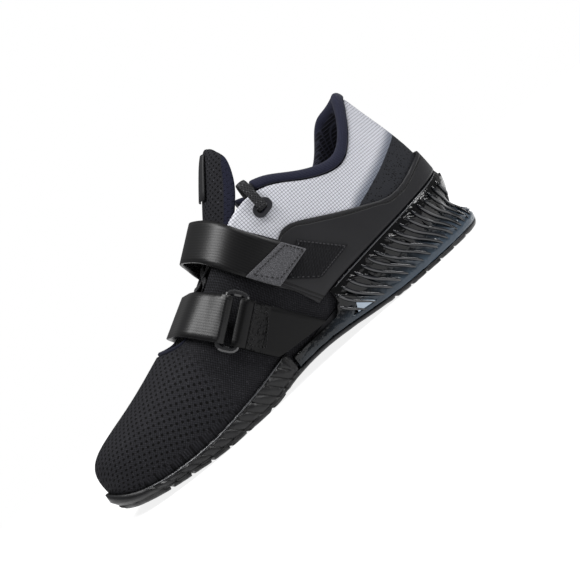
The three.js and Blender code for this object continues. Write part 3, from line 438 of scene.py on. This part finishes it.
def rubber_finish():
    """Black moulded rubber with fine moulding grain, rubbed paler on its edges, and slanted side ribs
    whose tops carry a painted sheen.
    """
    f = Finish("black rubber", gloss=0.35)
    x, y, z, everywhere = f.millimetres()
    cloud = f.noise(everywhere, 0.08, 3.0)
    grain = f.noise(everywhere, 4.0, 2.0)
    worn = f.use(edge_wear, amount=0.3)
    s = f.plus(x, CENTRE)
    side = f.times(f.step(s, 166.0, 170.0), f.step(s, 280.0, 268.0), f.step(z, 2.0, 3.4))
    steps = f.times(f.use(ribs, across=f.plus(s, f.times(z, -0.9)), pitch=7.6, sharpness=0.3), side)
    base = f.blend(cloud, tone(8, 8, 9), tone(14, 14, 16))
    # painted sheen: the ribs' tops are painted lighter than the grooves between them
    base = f.blend(f.times(steps, 0.5), base, tone(20, 20, 22))
    f.set("Base Color", f.blend(worn, base, tone(70, 71, 75)))
    f.set("Roughness", f.plus(f.times(grain, 0.14), f.times(cloud, 0.1), 0.26))
    f.relief((steps, 1.3), (grain, 0.05))
    rounded = f.add("ShaderNodeBevel", {"Radius": 0.45 * MM}, samples=4)
    first = f.shader.inputs["Normal"].links[0].from_node.inputs["Normal"].links[0].from_node
    f.tree.links.new(rounded.outputs[0], first.inputs["Normal"])
    return f.material


def wedge_finish():
    """Smoky blue-grey plastic, nearly black with painted shade under the upper, and paler with painted
    light at the floor, as if clearer there.
    """
    f = Finish("smoky plastic", rough=0.16, coat=0.15, gloss=0.25)
    f.set("Coat Roughness", 0.05)
    f.set("Transmission Weight", 0.12)
    x, y, z, everywhere = f.millimetres()
    s = f.plus(x, CENTRE)
    flow = f.noise(everywhere, 0.05, 2.0)
    # painted shade and light: near black high up, where the black foam would show through, and pale
    # blue-grey low down, where floor light would shine through
    low = f.step(f.plus(z, f.times(flow, 8.0), f.times(s, 0.08)), 33.0, 10.0)
    base = f.blend(low, tone(4, 5, 7), tone(66, 78, 90))
    f.set("Base Color", base)
    f.relief((f.noise(everywhere, 0.35, 1.0), 0.5))
    return f.material


# The straps cross the foot at this slant. Their crests are this high along it, and their
# sideways drift is over at this many mm below the crest.
STRAP_TILT = math.radians(37.8)
STRAP_CREST = 77.0
STRAP_DRIFT_ENDS = 42
KEEPER_CORNERS = [(162.8, 55.5), (155.9, 46.8), (175.7, 26.4), (185.2, 37.4)]


def strap_finish(name, middle, drift=0.0, rib_depth=0.016, keeper=0.0, gloss=0.3, shade=1.0):
    """Satin ribbed webbing: the ribs run along the strap, and a keeper is crumpled where doubled and
    painted lighter there as a painted highlight.
    """
    f = Finish(name, gloss=gloss)
    x, y, z, everywhere = f.millimetres()
    w = f.plus(f.times(x, -math.cos(STRAP_TILT)), f.times(z, math.sin(STRAP_TILT)))
    q = f.plus(f.times(x, math.sin(STRAP_TILT)), f.times(z, math.cos(STRAP_TILT)))
    below = f.times(f.maths("SUBTRACT", STRAP_CREST, q), 1 / STRAP_DRIFT_ENDS)
    down = f.maths("MINIMUM", f.maths("MAXIMUM", below, 0.0), 1.0)
    slide = f.times(down, f.maths("SUBTRACT", 2.0, down), -drift)
    lane = f.maths("SUBTRACT", w, f.plus(slide, middle))
    fine = f.use(ribs, across=lane, pitch=1.7, sharpness=1.0)
    keeper_s, keeper_z = KEEPER_CORNERS[0]
    past = f.plus(f.times(f.plus(x, CENTRE - keeper_s), -0.62), f.times(f.plus(z, -keeper_z), -0.78))
    doubled = f.times(f.step(past, -0.5, 0.5), f.step(past, 11.5, 10.5), keeper)
    crumple = f.times(f.noise(everywhere, 0.32, 2.0), doubled)
    fleck = f.noise(everywhere, 1.6, 3.0)
    # the doubled keeper's extra tint is a painted highlight on its crumpled gloss
    tint = f.plus(f.times(fleck, f.plus(f.times(fine, 0.6), 0.2)), f.times(doubled, 0.3))
    f.set("Base Color", f.blend(f.times(tint, shade), tone(3, 3, 4), tone(24, 24, 26)))
    f.set("Roughness", f.plus(f.times(fleck, 0.1), f.times(fine, 0.05), 0.31))
    f.relief((fine, rib_depth), (crumple, 2.0))
    return f.material


def cloth_finish(name, dark, pale, pitch, depth, share=0.2):
    """Knitted or woven cloth of two thread colours."""
    f = Finish(name, rough=0.85, sheen=0.05, gloss=0.12)
    x, y, z, everywhere = f.millimetres()
    slanted = f.plus(f.times(x, 0.6), f.times(z, 0.8))
    sideways = f.plus(y, f.times(x, -0.3), f.times(z, 0.2))
    threads = f.use(weave, across=slanted, up=sideways, pitch=pitch)
    speck = f.use(flecks, vector=everywhere, scale=0.9, share=share)
    cloud = f.noise(everywhere, 0.9, 3.0)
    mixed = f.plus(f.times(threads, 0.45), f.times(cloud, 0.35), f.times(speck, 0.5))
    f.set("Base Color", f.blend(mixed, dark, pale))
    f.relief((threads, depth), (cloud, depth))
    return f.material


def collar_finish():
    """Navy knit on the rolled rim, and a dark open grid on the lining below it."""
    f = Finish("collar knit", rough=0.85, sheen=0.1, gloss=0.12)
    x, y, z, everywhere = f.millimetres()
    depth, inward, _, _ = f.lane("rim")
    threads = f.use(weave, across=f.plus(x, f.times(z, 0.4)), up=f.plus(z, y), pitch=0.75)
    cloud = f.noise(everywhere, 1.3, 3.0)
    navy = f.blend(f.plus(f.times(cloud, 0.7), f.times(threads, 0.3)), tone(13, 14, 27), tone(40, 42, 62))
    grid = f.use(thread_grid, across=f.plus(x, y), up=z, pitch=2.3, line=0.55)
    lining = f.blend(grid, tone(16, 16, 24), tone(44, 45, 58))
    below = f.times(f.step(depth, 7.5, 9.5), inward)
    f.set("Base Color", f.blend(below, navy, lining))
    f.relief((threads, 0.16), (cloud, 0.15), (f.times(grid, below), 0.25))
    return f.material


def tongue_finish():
    """Black mesh with rows of holes, and navy knit along the edges."""
    f = Finish("tongue mesh", rough=0.82, gloss=0.12)
    x, y, z, everywhere = f.millimetres()
    along = f.plus(f.times(x, -0.6), f.times(z, 0.8))
    holes = f.use(round_holes, across=y, up=along, pitch=3.6, row=1.9, radius=0.55)
    threads = f.use(weave, across=y, up=along, pitch=0.6)
    speck = f.use(flecks, vector=everywhere, scale=0.7, share=0.12)
    mesh = f.blend(threads, tone(20, 20, 23), tone(44, 44, 48))
    mesh = f.blend(f.times(speck, 0.5), mesh, tone(88, 88, 94))
    mesh = f.blend(holes, mesh, tone(4, 4, 5))
    edge = f.step(f.maths("ABSOLUTE", y), 20.5, 21.5)
    cloud = f.noise(everywhere, 1.3, 3.0)
    navy = f.blend(cloud, tone(13, 14, 26), tone(38, 40, 58))
    f.set("Base Color", f.blend(edge, mesh, navy))
    f.relief((threads, 0.12), (f.times(holes, -1.0), 0.5))
    return f.material


def fuzz_finish():
    """Brushed grey fabric with short loops."""
    f = Finish("brushed tab", rough=0.9, sheen=0.15, gloss=0.12)
    x, y, z, everywhere = f.millimetres()
    tufts = f.add("ShaderNodeTexVoronoi", {"Vector": everywhere, "Scale": 1.5}).outputs["Distance"]
    cloud = f.noise(everywhere, 2.2, 4.0)
    mixed = f.plus(f.times(tufts, 0.8), f.times(cloud, 0.5), -0.15)
    f.set("Base Color", f.blend(mixed, tone(40, 40, 42), tone(108, 108, 112)))
    f.relief((tufts, 0.35), (cloud, 0.25))
    return f.material


def gloss_finish(name, colour, rough, metal=0.0, coat=0.6):
    """Polished plastic or metal with faint rubbing marks."""
    f = Finish(name, coat=coat, metal=metal)
    f.set("Coat Roughness", 0.08)
    x, y, z, everywhere = f.millimetres()
    rubbed = f.noise(everywhere, 0.7, 4.0)
    worn = f.use(edge_wear, amount=0.08)
    f.set("Base Color", f.blend(worn, colour, tone(120, 120, 125)))
    f.set("Roughness", f.plus(f.times(rubbed, 0.12), rough))
    f.relief((rubbed, 0.03))
    return f.material


def lace_finish():
    """Flat woven lace: black, with light flecks."""
    f = Finish("lace weave", rough=0.8, sheen=0.05, gloss=0.15)
    x, y, z, everywhere = f.millimetres()
    along = f.plus(z, f.times(y, 0.8))
    first = f.maths("SINE", f.times(f.plus(x, along), 3.4))
    second = f.maths("SINE", f.times(f.plus(x, f.times(along, -1.0)), 3.4))
    plait = f.plus(f.times(f.maths("MAXIMUM", first, second), 0.5), 0.5)
    speck = f.use(flecks, vector=everywhere, scale=1.1, share=0.3)
    black = f.blend(plait, tone(12, 12, 13), tone(48, 48, 50))
    f.set("Base Color", f.blend(f.times(speck, 0.6), black, tone(120, 120, 124)))
    f.relief((plait, 0.3))
    return f.material


def plain_finish(name, dark, pale, rough, scale=0.6, depth=0.06):
    """Foam, skin or thread: two close tones and a fine grain."""
    f = Finish(name, gloss=0.35)
    x, y, z, everywhere = f.millimetres()
    cloud = f.noise(everywhere, scale, 4.0)
    f.set("Base Color", f.blend(cloud, dark, pale))
    f.set("Roughness", f.plus(f.times(cloud, 0.12), rough))
    f.relief((cloud, depth))
    return f.material


# Forms.
def link(name, mesh):
    piece = bpy.data.objects.new(name, mesh)
    bpy.context.scene.collection.objects.link(piece)
    return piece


def finished(piece):
    """The piece with its modifiers taken up into its mesh."""
    bpy.context.view_layer.update()
    ready = piece.evaluated_get(bpy.context.evaluated_depsgraph_get())
    mesh = bpy.data.meshes.new_from_object(ready)
    piece.modifiers.clear()
    piece.data = mesh
    mesh.name = piece.name
    for face in mesh.polygons:
        face.use_smooth = True
    return piece


def merged(node):
    """A copy of a CAD node with its loose triangles joined into a skin of mostly quads."""
    skin = bmesh.new()
    skin.from_mesh(nodes[node].data)
    bmesh.ops.remove_doubles(skin, verts=skin.verts, dist=2e-5)
    bmesh.ops.join_triangles(
        skin,
        faces=skin.faces,
        angle_face_threshold=math.radians(35),
        angle_shape_threshold=math.radians(70),
    )
    return skin


def softened(name, node, levels=2, angle=50, firmness=0.75):
    """A rounded copy of a CAD node, for cloth: edges sharper than the angle stay nearly firm."""
    skin = merged(node)
    crease = skin.edges.layers.float.new("crease_edge")
    for edge in skin.edges:
        if len(edge.link_faces) == 2 and edge.calc_face_angle() > math.radians(angle):
            edge[crease] = firmness
    mesh = bpy.data.meshes.new(name)
    skin.to_mesh(mesh)
    skin.free()
    piece = link(name, mesh)
    rounding = piece.modifiers.new("rounding", "SUBSURF")
    rounding.levels = levels
    rounding.render_levels = levels
    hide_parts(node)
    return finished(piece)


def dress(piece, material):
    piece.data.materials.clear()
    piece.data.materials.append(material)
    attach(piece, "root")
    return piece


def skin_of(piece):
    """The piece's surface, for finding the nearest spot on it."""
    return BVHTree.FromObject(piece, bpy.context.evaluated_depsgraph_get())


def faces_inwards(co, normal):
    """Whether a spot on the upper's wall faces the foot."""
    ahead = min(max(co.x / 0.04, 0), 1)
    heart = Vector((min(max(co.x, -0.105), 0.095), 0, co.z + (0.028 - co.z) * ahead))
    return normal.dot(co - heart) < 0


def add_lanes(piece, name, values):
    layer = piece.data.attributes.new(name, "FLOAT_VECTOR", "POINT")
    for i, value in enumerate(values):
        layer.data[i].vector = value


HEEL_HEART = -0.110  # X of the middle of the heel's curve
HEEL_RADIUS = 33.0
FOOT_HEART = 0.014  # Z of the middle of the foot's own girth
FOOT_RADIUS = 40


def mark_upper(piece):
    """Lengths over the surface for the cloth: along and over the foot, and round the heel."""
    girth = []
    wrap = []
    for vertex in piece.data.vertices:
        co = vertex.co
        over = math.atan2(co.y, max(co.z - FOOT_HEART, 0.002)) * FOOT_RADIUS
        girth.append((co.x / MM, over, 1.0 if faces_inwards(co, vertex.normal) else 0.0))
        behind = HEEL_HEART - co.x
        if behind > 0:
            around = -HEEL_RADIUS * math.atan2(behind, abs(co.y) + 1e-5)
        else:
            around = -behind / MM
        wrap.append((around, co.z / MM, 0))
    add_lanes(piece, "girth", girth)
    add_lanes(piece, "round", wrap)


def mark_rim(piece):
    """How far each spot of the collar is below the rim above it, and whether it faces the foot."""
    verts = piece.data.vertices
    tree = kdtree.KDTree(len(verts))
    for i, vertex in enumerate(verts):
        tree.insert((vertex.co.x, vertex.co.y, 0), i)
    tree.balance()
    values = []
    for vertex in verts:
        near = tree.find_range((vertex.co.x, vertex.co.y, 0), 0.008)
        top = max(verts[i].co.z for _, i, _ in near)
        inward = 1.0 if faces_inwards(vertex.co, vertex.normal) else 0.0
        values.append(((top - vertex.co.z) / MM, inward, 0))
    add_lanes(piece, "rim", values)


def trough(piece, line, depth, width):
    """A soft fold along a line of spots: depth in mm, in where it is positive and out where not."""
    spots = [Vector(p) for p in line]
    moves = []
    for vertex in piece.data.vertices:
        away = min(
            (vertex.co - nearest_on(vertex.co, a, b)).length for a, b in zip(spots, spots[1:])
        )
        if away < 2.5 * width * MM:
            moves.append((vertex, math.exp(-((away / (width * MM)) ** 2))))
    for vertex, share in moves:
        inward = faces_inwards(vertex.co, vertex.normal)
        vertex.co += vertex.normal * (depth * MM * share * (1 if inward else -1))


def nearest_on(place, a, b):
    along = b - a
    t = min(max((place - a).dot(along) / along.length_squared, 0), 1)
    return a + along * t


def run(name, lines, thick, material):
    """Round cords or ridges along lines of spots, as one piece."""
    data = bpy.data.curves.new(name, "CURVE")
    data.dimensions = "3D"
    data.bevel_depth = thick * MM / 2
    data.bevel_resolution = 2
    data.use_fill_caps = True
    for line in lines:
        spline = data.splines.new("NURBS")
        spline.points.add(len(line) - 1)
        for i, (point, place) in enumerate(zip(spline.points, line)):
            point.co = (*place, 1)
            point.radius = 0.35 if i in (0, len(line) - 1) else 1.0
        spline.use_endpoint_u = True
        spline.order_u = 3
    drawn = link(name + "_line", data)
    bpy.context.view_layer.update()
    ready = drawn.evaluated_get(bpy.context.evaluated_depsgraph_get())
    mesh = bpy.data.meshes.new_from_object(ready)
    bpy.data.objects.remove(drawn)
    piece = link(name, mesh)
    for face in mesh.polygons:
        face.use_smooth = True
    return dress(piece, material)


# One stitch, in mm: from the last one, its length, its thickness and its height off the cloth.
STITCH_PITCH = 2.6
STITCH_LONG = 1.9
STITCH_THICK = 0.85
STITCH_LIFT = 0.15


def stitches(name, host, lines, thread):
    """A row of single stitches along lines of spots, each laid on the host's surface."""
    surface = skin_of(host)
    sewn = bmesh.new()
    for line in lines:
        spots = [Vector(p) for p in line]
        for a, b in zip(spots, spots[1:]):
            count = max(round((b - a).length / (STITCH_PITCH * MM)), 1)
            for i in range(count):
                place = a.lerp(b, (i + 0.5) / count)
                found, normal, _, away = surface.find_nearest(place)
                if found is None or away > 0.012:
                    continue
                along = (b - a) - normal * (b - a).dot(normal)
                along.normalize()
                side = normal.cross(along)
                turn = Matrix((along, side, normal)).transposed().to_4x4()
                wide = STITCH_THICK * MM
                size = Matrix.Diagonal((STITCH_LONG * MM / 2, wide / 2, wide / 2.6, 1))
                centre = Matrix.Translation(found + normal * STITCH_LIFT * MM)
                bmesh.ops.create_icosphere(
                    sewn, subdivisions=1, radius=1.0, matrix=centre @ turn @ size
                )
    mesh = bpy.data.meshes.new(name)
    sewn.to_mesh(mesh)
    sewn.free()
    for face in mesh.polygons:
        face.use_smooth = True
    return dress(link(name, mesh), thread)


def on_side(host, *places, side=1, out=0.0):
    """Spots of the host's inner side, or with side -1 its outer side, at (s, z) in millimetres."""
    surface = skin_of(host)
    way = Vector((0, -side, 0))
    found = [surface.ray_cast(spot(s, 120 * side, z), way)[0] for s, z in places]
    return [place - way * out * MM for place in found if place is not None]


def on_top(host, *places):
    """Spots of the host's upper side at (s, y) in millimetres."""
    surface = skin_of(host)
    found = [surface.ray_cast(spot(s, y, 220), Vector((0, 0, -1)))[0] for s, y in places]
    return [place for place in found if place is not None]


def inset(corners, share):
    """Corners moved towards their middle by a share of the way."""
    middle = [sum(c[i] for c in corners) / len(corners) for i in (0, 1)]
    return [tuple(c[i] + (middle[i] - c[i]) * share for i in (0, 1)) for c in corners]


EDGE_SPOTS = 6  # from one corner to the next


def along_edges(corners):
    """Even spots along the closed line through corners."""
    line = []
    for a, b in zip(corners, corners[1:] + corners[:1]):
        shares = [i / EDGE_SPOTS for i in range(EDGE_SPOTS)]
        line += [tuple(a[k] + (b[k] - a[k]) * share for k in (0, 1)) for share in shares]
    return line + [corners[0]]


def webbing_loop(name, host, centre, size, material):
    """A short piece of webbing laid over the host's top at (s, y), its ends sewn down."""
    flat = bmesh.new()
    bmesh.ops.create_grid(flat, x_segments=6, y_segments=16, size=0.5)
    bmesh.ops.scale(flat, vec=Vector((size[0], size[1], 1)) * MM, verts=flat.verts)
    surface = skin_of(host)
    for vert in flat.verts:
        place = spot(centre[0], centre[1], 220) + Vector((vert.co.x, vert.co.y, 0))
        found = surface.ray_cast(place, Vector((0, 0, -1)))[0]
        bow = math.cos(vert.co.y / (size[1] * MM) * math.pi) ** 2 * 1.6
        vert.co = found + Vector((0, 0, (0.5 + bow) * MM))
    mesh = bpy.data.meshes.new(name)
    flat.to_mesh(mesh)
    flat.free()
    piece = link(name, mesh)
    wall = piece.modifiers.new("thickness", "SOLIDIFY")
    wall.thickness = 1.1 * MM
    wall.offset = 1
    rounding = piece.modifiers.new("rounding", "SUBSURF")
    rounding.levels = rounding.render_levels = 1
    return dress(finished(piece), material)


def clear_panel(name, corners, thick, material):
    """A small flat panel with rounded edges, between the spots."""
    sheet = bmesh.new()
    sheet.faces.new([sheet.verts.new(place) for place in corners])
    bmesh.ops.solidify(sheet, geom=sheet.faces[:], thickness=thick * MM)
    bmesh.ops.recalc_face_normals(sheet, faces=sheet.faces)
    bmesh.ops.bevel(
        sheet, geom=sheet.edges[:], affect="EDGES", offset=0.5 * MM, segments=2, profile=0.5, material=-1
    )
    mesh = bpy.data.meshes.new(name)
    sheet.to_mesh(mesh)
    sheet.free()
    return dress(link(name, mesh), material)


def kept(node, material):
    """A CAD node that stays, with its own finish."""
    piece = nodes[node]
    piece.data.materials.clear()
    piece.data.materials.append(material)


set_camera()

lace_weave = lace_finish()
lace_end = dress(softened("lace_end_woven", "lace_end", levels=1), lace_weave)
dress(softened("lace_crossings", "lace_bars", levels=1), lace_weave)

# Where the cloth is pressed up over the toe, as (s, y), and folds at the ball of the foot and
# the instep, as (s, z) on the inner side.
TOE_RIDGES = [((231, 14), (224, 37)), ((246, 16), (237, 38)), ((259, 16), (256, 33))]
FLEX_FOLDS = [
    [(212, 50), (204, 38), (199, 26)],
    [(194, 56), (187, 40), (184, 26)],
    [(146, 60), (141, 46), (139, 34)],
]

# The top edge of the sole's side wall, as (s, z).
RAND_TOP = [(0, 46), (8, 44), (22, 42.2), (50, 39.5), (72, 37.2), (92, 34.8), (109, 32.6), (125, 29.4),
            (138, 27.2), (155, 23), (172, 19.4), (190, 15.8), (214, 12.4), (228, 10.8), (246, 10.2),
            (264, 10.8), (280, 13.3), (289, 17.6), (293.5, 20.8)]


def rand_top(s):
    """The height of that edge at a station."""
    for (s0, z0), (s1, z1) in zip(RAND_TOP, RAND_TOP[1:]):
        if s <= s1:
            return z0 + (z1 - z0) * (s - s0) / (s1 - s0)
    return RAND_TOP[-1][1]


# Sole.
tread = softened("outsole_rubber_skin", "outsole", levels=1, angle=38, firmness=0.75)
dress(tread, rubber_finish())
wedge = softened("heel_wedge_smoky", "heel_wedge", levels=1, angle=38, firmness=0.6)
dress(wedge, wedge_finish())


FINS = 19
FIN_PITCH = 6.1
FIN_STEPS = 12
FIN_FOOT = 8  # z where the fins end


def fin_lines(side):
    """Lines of the moulded fins that sweep down and back over one side of the heel."""
    lines = []
    for i in range(FINS):
        top_s = 12 + FIN_PITCH * i
        top_z = rand_top(top_s) - 3.5
        sweep = 0.35 + 0.45 * min(i / 9, 1)
        places = []
        for step in range(FIN_STEPS + 1):
            drop = (top_z - FIN_FOOT) * step / FIN_STEPS
            sway = 1.8 * math.sin(drop * 0.2)
            places.append((top_s - sweep * drop + sway, top_z - drop))
        line = on_side(wedge, *[place for place in places if place[0] > 3], side=side, out=0.55)
        if len(line) > 4:
            lines.append(line)
    return lines


glossy_fin = gloss_finish("glossy fin", tone(14, 17, 22), 0.1)
run("wedge_fins", fin_lines(1) + fin_lines(-1), 2.3, glossy_fin)
# A thin rounded cord along the top edge, on the wedge and on the forefoot's rubber: its shape catches
# real highlights, and its paler grey than the rubber is a painted highlight.
RAND_STEPS = 24
rand_lines = []
for side in (1, -1):
    for host, low, high in ((wedge, 6, 134), (tread, 168, 278)):
        stations = [low + (high - low) * i / RAND_STEPS for i in range(RAND_STEPS + 1)]
        places = [(s, rand_top(s) - 0.7) for s in stations]
        rand_lines.append(on_side(host, *places, side=side, out=0.05))
# the cord's grey is a painted highlight, lighter than the rubber it sits on
rim_painted_highlight = gloss_finish("rim painted highlight", tone(52, 53, 57), 0.2)
run("rand_edge", rand_lines, 0.9, rim_painted_highlight)
kept("midsole", plain_finish("dark foam", tone(14, 14, 17), tone(30, 30, 34), 0.6))
dress(
    softened("insole_cloth", "insole"),
    cloth_finish("insole knit", tone(14, 14, 18), tone(40, 40, 46), 0.9, 0.15),
)

# Upper.
upper = softened("upper_cloth", "upper", levels=2, angle=60)
# pressed ridges over the toe, and soft folds where the foot bends
for start, end in TOE_RIDGES:
    middle = tuple((start[i] + end[i]) / 2 for i in (0, 1))
    trough(upper, on_top(upper, start, middle, end), -0.7, 2.0)
for places in FLEX_FOLDS:
    trough(upper, on_side(upper, *places), 0.7, 3.5)
mark_upper(upper)
dress(upper, upper_finish())
dress(softened("quarter_film", "quarter_overlay", levels=2, angle=50), film_finish())
dress(
    softened("loop_patch_weave", "loop_patch", levels=1),
    cloth_finish("loop weave", tone(7, 7, 8), tone(40, 40, 43), 0.9, 0.14, share=0.4),
)
collar = softened("collar_roll", "collar_lining", levels=2, angle=70, firmness=0.4)
mark_rim(collar)
dress(collar, collar_finish())
tongue = softened("tongue_pad", "tongue", levels=2, angle=75, firmness=0.3)
dress(tongue, tongue_finish())
navy = cloth_finish("navy knit", tone(12, 13, 24), tone(36, 38, 54), 0.7, 0.15, share=0.1)
dress(softened("throat_edge", "throat_piping", levels=1), navy)
dress(
    softened("tongue_label_skin", "tongue_label", levels=1, firmness=0.9),
    plain_finish("label skin", tone(18, 18, 20), tone(28, 28, 31), 0.5),
)

# Straps, ring, band, eyelets.
thread = plain_finish("black thread", tone(8, 8, 9), tone(26, 26, 28), 0.6, 3.0, 0.05)
grey_thread = plain_finish("grey thread", tone(38, 38, 40), tone(66, 66, 69), 0.7, 3.0, 0.05)
instep = softened("instep_strap_webbing", "instep_strap", levels=2, firmness=0.85)
dress(instep, strap_finish("instep webbing", -60.0, drift=5.6))
forefoot = softened("forefoot_strap_webbing", "forefoot_strap", levels=2, firmness=0.85)
trough(forefoot, on_side(forefoot, (196, 51), (183, 61), (171, 70.5)), 0.5, 2.2)
dress(forefoot, strap_finish("forefoot webbing", -106.0))
tab = softened("instep_tab_cloth", "instep_strap_tab", levels=2, firmness=0.7)
dress(tab, fuzz_finish())
band = softened("anchor_band_webbing", "anchor_band", levels=2, firmness=0.85)
glossy_band = strap_finish(
    "glossy band", -106.0, rib_depth=0.01, keeper=1.0, gloss=0.16, shade=0.35
)
dress(band, glossy_band)
kept("strap_ring", gloss_finish("black ring", tone(14, 14, 16), 0.14))
gunmetal = gloss_finish("gunmetal", tone(84, 84, 90), 0.26, metal=1.0, coat=0.2)
for eyelet in ("eyelet_medial", "eyelet_lateral"):
    kept(eyelet, gunmetal)

# Sewing: round the tab and the loop patch, and a box with a cross where the ring's band is
# doubled.
TAB_CORNERS = [(153, 70.3), (122, 72.4), (112, 59.1), (137, 53.9)]
PATCH_CORNERS = [(134, 54), (113, 69), (89, 46), (116, 41)]
tab_line = along_edges(inset(TAB_CORNERS, 0.13))
stitches("tab_stitches", tab, [on_side(tab, *tab_line)], thread)
patch_line = along_edges(inset(PATCH_CORNERS, 0.1))
loop_patch = bpy.data.objects["loop_patch_weave"]
stitches("patch_stitches", loop_patch, [on_side(loop_patch, *patch_line)], grey_thread)
box = inset(KEEPER_CORNERS, 0.12)
rows = [on_side(band, *along_edges(box))]
for a, b in ((box[0], box[2]), (box[1], box[3])):
    steps = [(a[0] + (b[0] - a[0]) * i / 8, a[1] + (b[1] - a[1]) * i / 8) for i in range(9)]
    rows.append(on_side(band, *steps))
stitches("keeper_stitches", band, rows, thread)
webbing = cloth_finish("webbing loop", tone(10, 10, 11), tone(74, 74, 78), 1.0, 0.3, share=0.3)
webbing_loop("throat_webbing", tongue, (207, 0), (8, 25), webbing)
# The arch's clear window is opaque here: its pale colour is painted light from behind it, and it gives
# off a little light so that it looks clear.
painted_light_plastic = plain_finish("clear plastic painted light", tone(150, 158, 166), tone(196, 202, 208), 0.15, 0.1)
glow = painted_light_plastic.node_tree.nodes["Principled BSDF"]
glow.inputs["Emission Color"].default_value = (0.62, 0.68, 0.74, 1)
glow.inputs["Emission Strength"].default_value = 0.35
arch_corners = [spot(107.0, 36, 17.0), spot(90.0, 36, 6.6), spot(110.5, 36, 9.6)]
clear_panel("arch_window", arch_corners, 1.0, painted_light_plastic)

# Floor and lights. The air is white behind the shoe, and dimmer than that as a light on it.
# The floor gives off light too, so that only a faint shadow shows on it.
STUDIO_FILL = 0.2
bpy.ops.mesh.primitive_circle_add(vertices=96, radius=0.6, fill_type="NGON", location=(0, 0, 0))
floor = bpy.context.object
floor.name = "floor"
floor_paint = plain_finish("pale floor", tone(150, 150, 151), tone(154, 154, 155), 0.8, 0.01, 0.0)
shine = floor_paint.node_tree.nodes["Principled BSDF"]
shine.inputs["Emission Color"].default_value = (1, 1, 1, 1)
shine.inputs["Emission Strength"].default_value = 0.85
floor.data.materials.append(floor_paint)

world = bpy.data.worlds.new("studio air")
world.use_nodes = True
air = Bench(world.node_tree)
seen = air.add("ShaderNodeLightPath").outputs["Is Camera Ray"]
strength = air.blend_value(seen, STUDIO_FILL, 1.0)
air.tree.links.new(strength, air.tree.nodes["Background"].inputs[1])
air.tree.nodes["Background"].inputs[0].default_value = (1, 1, 1, 1)
bpy.context.scene.world = world
bpy.context.scene.view_settings.view_transform = "Standard"
light("top light", (0.4, 0.2, 1.3), (0.7, 0.7), 20)
light("heel light", (-0.9, 0.5, 0.9), (0.2, 0.8), 9)
